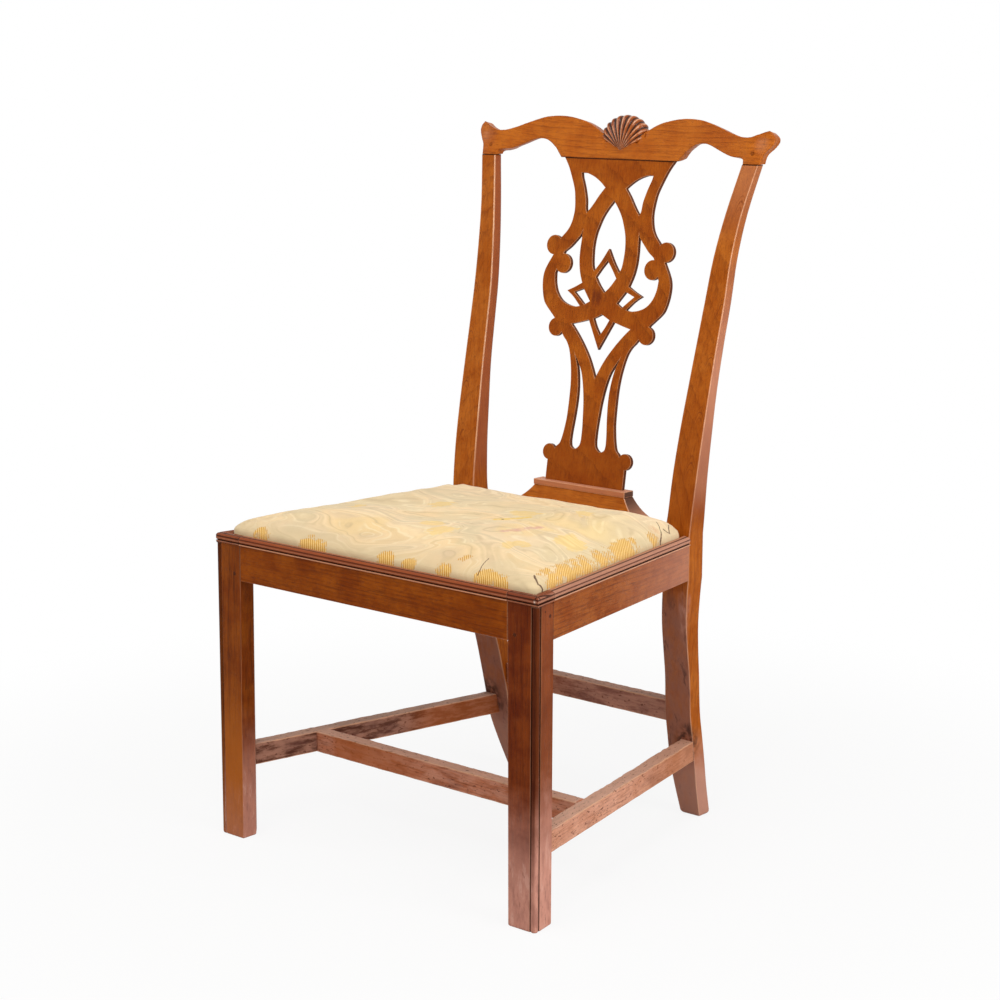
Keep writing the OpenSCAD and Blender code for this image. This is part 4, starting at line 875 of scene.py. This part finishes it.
# Only the part that shows between the shoe and the crest rail has its edges eased
SPLAT_FOOT, SPLAT_HEAD = 0.4625, 0.9175
for width, where in (
    (0.001, lambda at, facing, along: (TO_SPLAT @ at).y > 0.005 and facing.y > 0.3),
    (0.0006, lambda at, facing, along: (TO_SPLAT @ at).y < 0.001 and facing.y < -0.3),
):
    ease_edges(splat, width, lambda *edge: SPLAT_FOOT < edge[0].z < SPLAT_HEAD and where(*edge))
smooth(splat, 40)
splat_wood = wood("splat_wood", "z", (170, 90, 22), (146, 68, 12), (94, 38, 8), shift=(0.06, 0.05, 0.3),
                  marks=splat_marks, rings=0.007)
# The eased edges are paler and glossier: wear and a painted highlight along the arrises
splat_edge = wood("splat_edge", "z", (196, 126, 74), (166, 94, 44), (100, 48, 20), marks=splat_marks,
                  worn=0.3, gloss=0.2, lustre=0.4)
dressed(splat, "splat", [splat_wood, splat_edge])

# Shoe: a walnut block with hollowed front and ends, glued on top of the rear seat rail and slotted for
# the splat's foot. Its upper edges are painted pale, for rubbing and a highlight.
shoe = copy_of("shoe", "hollowed_shoe")
shoe_top = max(v.co.z for v in shoe.data.vertices)
shape_by_hand(shoe, lambda at, facing: Vector((0, 0, 0.0038)) if at.z > shoe_top - 0.001 else Vector())
ease_edges(shoe, 0.0009, steps=3)
smooth(shoe)


def shoe_marks(start, place, grained, lay, dull, blotch, streak):
    # The hollowed ends are end grain, and have gone dark
    facing = start.facing()
    z = place.parts()[2]
    # A painted highlight along the top moulding
    lay((z - streak * 0.003).between(0.4555, 0.4585) * 0.5, 206, 140, 108)
    lay(abs(facing[0]).between(0.35, 0.7) * 0.85, 84, 62, 54)
    # Painted light: the top faces are laid paler, as lit from above
    lay(facing[2].between(0.6, 0.9) * 0.45, 214, 152, 122)
    return dull


shoe_wood = wood("shoe_wood", "x", (182, 102, 30), (154, 78, 18), (92, 38, 8), rings=0.005,
                 shift=(0.1, 0.02, -0.4), marks=shoe_marks)
# The eased edges are paler and glossier: wear and a painted highlight along the arrises
shoe_edge = wood("shoe_edge", "x", (216, 156, 120), (180, 118, 80), (92, 46, 24), worn=0.4, gloss=0.2,
                 lustre=0.4)
dressed(shoe, "shoe", [shoe_wood, shoe_edge])

# Pegs: riven pins driven through the tenons of the rails and of the crest rail and cut off flush. Their
# end grain is darkened with wax.
for node, tones in (
    ("rail_pegs", ((96, 46, 20), (66, 28, 10), (30, 12, 5))),
    ("crest_pegs", ((158, 84, 26), (134, 64, 16), (84, 34, 8))),
):
    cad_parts[node].data.materials.clear()
    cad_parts[node].data.materials.append(wood(node + "_wood", "y", *tones, rings=0.0008))

# Glue blocks and the lift-out seat's frame: pale secondary wood, sawn and never polished, rubbed in
# place with hot glue or halved together at the corners.


def shop_marks(start, place, grained, lay, dull, blotch, streak):
    x, y, z = place.parts()
    saw = (((x + y) * 420 + (blotch - 0.5) * 4).maths("SINE") * 0.5 + 0.5) * 0.18
    lay(saw, 150, 112, 70)
    glue = start.cloud(x * 40, y * 40, z * 40, 3).between(0.58, 0.7)
    lay(glue * 0.5, 110, 66, 30)
    return dull + 0.9


for node in ("front_left_block", "front_right_block", "rear_left_block", "rear_right_block",
             "slip_front_rail", "slip_rear_rail", "slip_left_rail", "slip_right_rail"):
    batten = copy_of(node, node + "_sawn")
    ease_edges(batten, 0.0005, steps=1)
    smooth(batten)
    grain = "y" if node in ("slip_left_rail", "slip_right_rail") else "x"
    sawn = wood(node + "_wood", grain, (196, 160, 112), (172, 132, 84), (116, 80, 44), marks=shop_marks,
                gloss=0.55, lustre=0.0, rings=0.0035)
    dressed(batten, node, [sawn], "slip_seat" if "slip" in node else "frame")

# Webbing: seven jute straps tacked over the seat frame and interlaced, each with darker selvedge
# stripes and a plain weave.
strap_cloth, start = blank("jute_webbing")
x, y, _ = start.node("TexCoord", give=2).parts()
warp = x.wave(0.0021)
weft = y.wave(0.0026)
worn = start.cloud(x * 60, y * 60, 0, 3)
colour = (warp * 0.35 + worn * 0.4).mix(tint(176, 146, 98), tint(132, 104, 66))
stripe = abs(abs(x - 0.025) - 0.019).between(0.0028, 0.0022)
colour = (stripe * 0.7).mix(colour, tint(112, 62, 48))
start.skin(colour, 0.92, warp * weft + warp * 0.4, 0.7, 0.0006)
cross_low, cross_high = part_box("cross_webbing")
long_low, long_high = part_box("long_webbing")
slip_top = cross_low.z
STRAP, STRAP_THICK = 0.05, 0.0011
# How fast each side of the seat runs in towards the rear: its widths and its depth in millimetres
EDGE_SLOPE = (568 - 427) / 2 / 402


def span_at(y):
    # Half the length of the strap from side to side that lies at a place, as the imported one's
    return cross_high.x - (y - cross_low.y) * EDGE_SLOPE


END_GAP = 0.028
free = (long_high.y - END_GAP) - (long_low.y + END_GAP) - STRAP
cross_at = [long_low.y + END_GAP + free * (i + 0.5) / 4 + STRAP / 2 for i in range(4)]
reach = long_high.x - STRAP / 2
long_at = [-reach, 0.0, reach]


def strap(name, width_axis, middle, half, hop):
    # A flat strap as a fine grid, its height along it given by hop(), then given its thickness
    bpy.ops.object.select_all(action="DESELECT")
    bpy.ops.mesh.primitive_grid_add(x_subdivisions=8, y_subdivisions=120, size=1)
    band = bpy.context.object
    band.name = name
    flat = band.data.uv_layers[0]
    for loop in band.data.loops:
        at = band.data.vertices[loop.vertex_index].co
        flat.data[loop.index].uv = ((at.x + 0.5) * STRAP, (at.y + 0.5) * 2 * half)
    for vertex in band.data.vertices:
        wide, run = vertex.co.x * (STRAP - 0.0006), vertex.co.y * 2 * half
        fray = noise.noise(Vector((run * 60, wide * 30, middle))) * 0.0003
        if width_axis == "y":
            vertex.co = Vector((run, middle + wide + fray, slip_top + 0.0006 + hop(run)))
        else:
            vertex.co = Vector((middle + wide + fray, run + (long_low.y + long_high.y) / 2, 0))
            vertex.co.z = slip_top + 0.0006 + hop(vertex.co.y)
    open_mesh(band)
    bpy.ops.mesh.normals_make_consistent(inside=False)
    close_mesh()
    bpy.ops.object.shade_smooth()
    worked(band, "SOLIDIFY", thickness=STRAP_THICK, offset=0)
    band.data.materials.append(strap_cloth)
    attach(band, "slip_seat")
    2 * half
    return band


def lifted(at, over):
    # How high a strap runs at a place, where it crosses over the straps whose middles are given
    gap = min([abs(at - middle) / 0.03 for middle in over] + [1])
    return 0.0012 * (0.5 + 0.5 * math.cos(math.pi * max(0, (gap - 0.75) / 0.25)))


for i, y in enumerate(cross_at):
    over = [x for k, x in enumerate(long_at) if (i + k) % 2]
    strap("cross_strap_%d" % (i + 1), "y", y, span_at(y + STRAP / 2) - 0.0002,
                          lambda run, over=over: lifted(run, over))
for k, x in enumerate(long_at):
    over = [y for i, y in enumerate(cross_at) if not (i + k) % 2]
    strap("long_strap_%d" % (k + 1), "x", x, (long_high.y - long_low.y) / 2,
                          lambda run, over=over: lifted(run, over))
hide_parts("cross_webbing")
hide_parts("long_webbing")

# Tacks: cut iron tacks with hammered heads, blackened, driven into the lift-out frame. They hold the
# straps on top of it and the cover's hem underneath.
iron, start = blank("blackened_iron")
x, y, z = start.node("TexCoord", give=3).parts()
rust = start.cloud(x * 900, y * 900, z * 900, 3).between(0.48, 0.66)
hammered = start.cloud(x * 700, y * 700, z * 700, 2)
start.skin(rust.mix(tint(62, 58, 56), tint(104, 62, 40)), rust * 0.35 + 0.4, hammered, 0.6, 0.0003,
           {"Metallic": 1 - rust * 0.8})
for node in ("webbing_tacks", "cover_tacks"):
    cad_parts[node].data.materials.clear()
    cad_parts[node].data.materials.append(iron)

# Sackcloth: a coarse cloth of loose weave, drawn over the straps and fixed round the lift-out frame, to
# keep the stuffing in.
sack_low, sack_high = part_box("sackcloth")
sack_half = sack_high.x - 0.014
bpy.ops.object.select_all(action="DESELECT")
bpy.ops.mesh.primitive_grid_add(x_subdivisions=90, y_subdivisions=70, size=1)
sack = bpy.context.object
sack.name = "coarse_sackcloth"
for vertex in sack.data.vertices:
    run = sack_low.y + 0.001 + (vertex.co.y + 0.5) * (sack_high.y - sack_low.y - 0.002)
    half = sack_half - (run - sack_low.y) * EDGE_SLOPE
    across = vertex.co.x * 2 * half
    wave = 0.00008 * noise.noise(Vector((across * 50, run * 50, 0)))
    vertex.co = Vector((across, run, (sack_low.z + sack_high.z) / 2 + wave))
worked(sack, "SOLIDIFY", thickness=0.0004, offset=0)
burlap, start = blank("sackcloth_weave")
x, y, _ = start.node("TexCoord", give=3).parts()
slub = start.cloud(x * 40, y * 300, 0, 3)
warp = (x + (slub - 0.5) * 0.0008).wave(0.0018)
weft = (y + (slub - 0.5) * 0.0008).wave(0.0018)
thread = warp.maths("MAXIMUM", weft)
colour = (1 - thread).mix(tint(186, 156, 112), tint(70, 52, 34))
colour = (slub * 0.5).mix(colour, tint(140, 112, 74))
start.skin(colour, 0.95, thread + slub * 0.5, 0.8, 0.0006)
sack.data.materials.append(burlap)
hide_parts("sackcloth")
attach(sack, "slip_seat")

# Cushion: hair and tow stuffed over the sackcloth under one cover of silk and wool damask, which is
# drawn down over the frame, folded at the corners and tacked underneath.
seat_low, seat_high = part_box("seat_cover")
RAIL_TOP = 0.426
cushion = copy_of("seat_cover", "damask_cushion", whole=False)
open_mesh(cushion)
bpy.ops.mesh.convex_hull()
close_mesh()
cushion.data.remesh_voxel_size = 0.005
bpy.ops.object.voxel_remesh()
shape_by_hand(cushion, lambda at, facing: facing * -0.0012 * unit((at.z - RAIL_TOP - 0.003) / 0.012))
held = cushion.vertex_groups.new(name="tacked_edge")
for vertex in cushion.data.vertices:
    held.add([vertex.index], 1.0 if vertex.co.z < RAIL_TOP + 0.003 else 0.0, "REPLACE")
# How far the stuffing may push the cover each way
SWELL = ((-0.001, 0.001), (-0.001, 0.001), (-0.002, 0.0042))
before = [v.co.copy() for v in cushion.data.vertices]
pushed = cushion.modifiers.new("stuffing", "CLOTH")
for name, value in (
    ("quality", 5), ("mass", 0.3), ("tension_stiffness", 12), ("compression_stiffness", 12),
    ("shear_stiffness", 4), ("bending_stiffness", 0.4), ("use_pressure", True),
    ("uniform_pressure_force", 4), ("vertex_group_mass", held.name),
):
    setattr(pushed.settings, name, value)
pushed.settings.effector_weights.gravity = 0
for step in range(1, 21):
    scene.frame_set(step)
bpy.ops.object.modifier_apply(modifier=pushed.name)
for vertex, start_at in zip(cushion.data.vertices, before):
    moved = vertex.co - start_at
    moved = Vector([max(low, min(high, part)) for part, (low, high) in zip(moved, SWELL)])
    ease = unit((start_at.z - RAIL_TOP - 0.002) / 0.014)
    vertex.co = start_at + moved * ease * ease * (3 - 2 * ease)
scene.frame_set(1)
worked(cushion, "SUBSURF", levels=1, render_levels=1)
soften(cushion, lambda at, facing: (at.z - RAIL_TOP - 0.004) / 0.008, 10)


def slack(at, facing):
    # Old stuffing: shallow dips, and folds where the cover was gathered at the corners
    if at.z < RAIL_TOP - 0.002:
        return Vector((0, 0, seat_low.z - at.z)) if at.z < seat_low.z + 0.0009 else Vector()
    high = min(1, (at.z - RAIL_TOP) / 0.012)
    dip = noise.noise(Vector((at.x * 13, at.y * 13, 4))) * 0.0016
    dip += noise.noise(Vector((at.x * 34, at.y * 34, 9))) * 0.0007
    folds = 0
    for corner in ((0.272, -0.262), (-0.272, -0.262), (0.205, 0.127), (-0.205, 0.127)):
        gap = math.hypot(at.x - corner[0], at.y - corner[1])
        turn = math.atan2(at.y - corner[1], at.x - corner[0])
        if gap < 0.07:
            folds -= 0.0021 * max(0, math.cos(turn * 9 + corner[0] * 40)) ** 6 * (1 - gap / 0.07) ** 1.3
    back = unit((at.y + 0.12) / 0.16) * unit((at.z - RAIL_TOP - 0.008) / 0.012)
    return facing * high * (dip + folds) + Vector((0, 0, 0.0012 * min(1, high) + 0.0042 * back))


shape_by_hand(cushion, slack)

# The cover's underside is cut away inside the hem, and the cloth gets its thickness
HEM = 0.026
front_line = seat_low.y + HEM
rear_line = seat_high.y - HEM
side_turn = math.atan(EDGE_SLOPE)
side_line = seat_high.x + 0.002 - HEM / math.cos(side_turn)


def pick_under(inside):
    # Selects the faces of the underside whose middle passes a test
    mesh = bmesh.from_edit_mesh(cushion.data)
    for face in mesh.faces:
        at = face.calc_center_median()
        face.select_set(face.normal.z < -0.7 and at.z < seat_low.z + 0.001 and inside(at))
    bmesh.update_edit_mesh(cushion.data)


open_mesh(cushion)
for co, no in (
    ((0, front_line, 0), (0, 1, 0)), ((0, rear_line, 0), (0, 1, 0)),
    ((side_line, seat_low.y, 0), (math.cos(side_turn), math.sin(side_turn), 0)),
    ((-side_line, seat_low.y, 0), (-math.cos(side_turn), math.sin(side_turn), 0)),
):
    bpy.ops.mesh.select_all(action="DESELECT")
    pick_under(lambda at: True)
    bpy.ops.mesh.bisect(plane_co=co, plane_no=no)
bpy.ops.mesh.select_mode(type="FACE")
bpy.ops.mesh.select_all(action="DESELECT")
pick_under(lambda at: front_line < at.y < rear_line
           and abs(at.x) < side_line - (at.y - seat_low.y) * EDGE_SLOPE)
bpy.ops.mesh.delete(type="FACE")
bpy.ops.object.mode_set(mode="OBJECT")
bpy.ops.object.shade_smooth()
worked(cushion, "SOLIDIFY", thickness=0.0011, offset=-1)


def most(masks):
    # The strongest of several masks at each place
    strongest, *others = masks
    for mask in others:
        strongest = strongest.maths("MAXIMUM", mask)
    return strongest


damask, start = blank("worn_damask")
place = start.node("TexCoord", give=3)
x, y, z = place.parts()
flow = start.cloud(x * 4, y * 4, z * 4, 1, 0.5)
drift = start.cloud(x * 4 + 7, y * 4 + 3, z * 4, 1, 0.5)
px = x + (flow - 0.5) * 0.16
py = y + (drift - 0.5) * 0.16
marble = start.cloud(px * 7, py * 12, z * 8, 2, 0.4, 0.8)
veins = start.cloud(px * 16 + 4, py * 30, z * 16, 2, 0.5, 0.5)
broad = start.cloud(px * 9 + 5, py * 9, z * 8, 3, 0.55)
mottle = start.cloud(x * 90, y * 90, z * 90, 4, 0.65)
lay = Coats(marble.node("ValToRGB", {0: marble}, stops=[
    (0.28, (216, 192, 150)), (0.38, (236, 208, 164)), (0.42, (216, 192, 150)),
    (0.45, (240, 212, 168)), (0.5, (224, 196, 150)), (0.53, (243, 214, 167)),
    (0.58, (228, 197, 146)), (0.63, (240, 208, 157)), (0.72, (218, 190, 148)),
]))
lay(broad.between(0.5, 0.62) * 0.5, 214, 196, 154)
lay(broad.between(0.46, 0.34) * 0.5, 240, 206, 138)
thin = abs((marble * 18).maths("FRACT") - 0.5).between(0.3, 0.48)
lay(thin * veins.between(0.4, 0.6) * 0.45, 250, 232, 192)
thin = abs((marble * 8 + 0.3).maths("FRACT") - 0.5).between(0.4, 0.49)
lay(thin * veins.between(0.6, 0.42) * 0.4, 186, 160, 118)
lay(mottle.between(0.48, 0.7) * 0.14, 178, 152, 108)
lay(y.between(0.0, 0.12) * 0.35, 252, 228, 190)
# Stains and painted shade along the front, where the cover rolls over
lay(y.between(-0.17, -0.262) * 0.4, 204, 178, 140)
# Gold motifs of short stitches, worn down to a row along the front and right-hand edges
gold = most([place.near(spot, size, 0.7) for spot, size in (
    ((-0.205, -0.262, 0.431), 0.01936), ((-0.118, -0.262, 0.432), 0.02112),
    ((-0.098, -0.262, 0.43), 0.0176), ((0.022, -0.262, 0.431), 0.01936),
    ((0.062, -0.262, 0.43), 0.01672), ((0.12, -0.262, 0.43), 0.01936),
    ((0.136, -0.234, 0.44), 0.01496), ((0.19, -0.262, 0.432), 0.02288),
    ((0.216, -0.262, 0.43), 0.01936), ((0.262, -0.215, 0.433), 0.01936),
    ((0.256, -0.172, 0.434), 0.02112), ((0.247, -0.128, 0.434), 0.01936),
    ((0.24, -0.088, 0.434), 0.0176), ((0.23, -0.03, 0.434), 0.02112),
    ((0.21, 0.05, 0.434), 0.01584), ((-0.262, -0.18, 0.432), 0.0176),
    ((-0.235, -0.02, 0.432), 0.01936), ((-0.1, 0.127, 0.436), 0.02112),
    ((0.09, 0.127, 0.436), 0.01936),
)])
inset = (y - seat_low.y) * -EDGE_SLOPE + seat_high.x - x
along_side = inset.between(0.021, 0.003) * y.between(-0.245, -0.225) * y.between(0.03, -0.03)
worn_row = gold.maths("MAXIMUM", along_side * z.between(0.424, 0.428) * 0.66)
stitch = (x * 0.95 + y * 0.95) * (2 * math.pi / 0.0034) + (mottle - 0.5) * 2.5 + broad * 16
stitch = stitch.maths("SINE").between(-0.3, 0.5)
gold = worn_row + (mottle - 0.5) * 3.4 + (veins - 0.5) * 1.8 + (stitch - 0.5) * 0.3
gold = gold.between(0.34, 0.6) * worn_row.between(0.03, 0.2)
lay(gold * 0.7, 238, 196, 106)
lay(gold * stitch * 0.9, 196, 134, 24)
flat_place = place.vector("MULTIPLY", (1, 1, 0))
florets = most([flat_place.near(spot, size, 0.9) for spot, size in (
    ((0.0435, -0.175, 0), 0.034), ((0.005, -0.15, 0), 0.024), ((0.065, -0.03, 0), 0.034),
    ((0.13, 0.005, 0), 0.03), ((-0.151, -0.134, 0), 0.026), ((0.17, -0.175, 0), 0.034),
    ((0.2, -0.1, 0), 0.036), ((-0.06, -0.06, 0), 0.03),
)])
petals = (florets + (mottle - 0.5) * 2.2 + (veins - 0.5) * 2.6).between(0.5, 0.75)
lay(petals * florets.between(0.03, 0.3) * 0.5, 238, 198, 100)
sun = flat_place.near((0.16, -0.06, 0), 0.11, 0.9) * marble.between(0.44, 0.54)
lay(sun * 0.35, 240, 204, 116)
pink = flat_place.line((0.112, -0.13, 0), (0.13, -0.086, 0), 0.011) * mottle.between(0.35, 0.6)
lay(pink * 0.55, 206, 138, 136)
yellow = flat_place.line((0.056, -0.084, 0), (0.086, -0.052, 0), 0.007) * mottle.between(0.35, 0.55)
lay(yellow * 0.8, 232, 192, 70)
hole = flat_place.near((0.0622, -0.0775, 0), 0.0026, 0.6)
lay(hole * 0.95, 60, 38, 22)
# The cover is laid darker towards its bottom edge, outside the gold motifs
lower_down = (z + (marble - 0.5) * 0.02).between(0.45, 0.43)
lay(lower_down * (1 - gold) * 0.6, 204, 182, 142)
# Painted shade in the folds near the corners, as thin dark lines
wavy = start.node("TexNoise", {"Vector": place, "Scale": 130, "Detail": 1}, 1)
wavy = wavy.vector("SUBTRACT", (0.5, 0.5, 0.5)).vector("MULTIPLY", (0.0028, 0.0028, 0.0028))
wavy = place.vector("ADD", wavy).vector("MULTIPLY", (1, 1, 0))
split = most([wavy.line(*fold_line) for fold_line in (
    ((0.167, -0.226, 0), (0.177, -0.257, 0), 0.0009),
    ((0.251, -0.238, 0), (0.2645, -0.2475, 0), 0.0016),
    ((0.266, -0.246, 0), (0.276, -0.234, 0), 0.0012),
    ((0.1967, 0.1067, 0), (0.2057, 0.0967, 0), 0.001),
    ((0.2057, 0.0967, 0), (0.2016, 0.0886, 0), 0.0011),
    ((0.1895, 0.0893, 0), (0.2054, 0.0787, 0), 0.0009),
    ((0.2054, 0.0787, 0), (0.217, 0.0616, 0), 0.001),
    ((0.1595, 0.11, 0), (0.1676, 0.1102, 0), 0.0009),
)])
# Painted shade beside a fold near the right rear corner
fold_shade = flat_place.near((0.204, 0.066, 0), 0.014, 0.9) * mottle.between(0.35, 0.6)
lay(fold_shade * 0.5, 206, 146, 100)
# Painted shade: the folds' dark lines
lay(split * 0.9, 76, 38, 20)
warp = (x + y * 0.02).wave(0.0011)
weft = y.wave(0.0013)
height = warp * weft * 0.4 + marble + gold * stitch * 1.6 + mottle * 0.8 + split * -2.5
start.skin(lay.colour, 0.86 - marble * 0.2, height, 0.5, 0.0005,
           {"Specular IOR Level": 0.25, "Sheen Weight": 0.12, "Sheen Roughness": 0.5})
cushion.data.materials.append(damask)
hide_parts("seat_cover", "stuffing")
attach(cushion, "slip_seat")
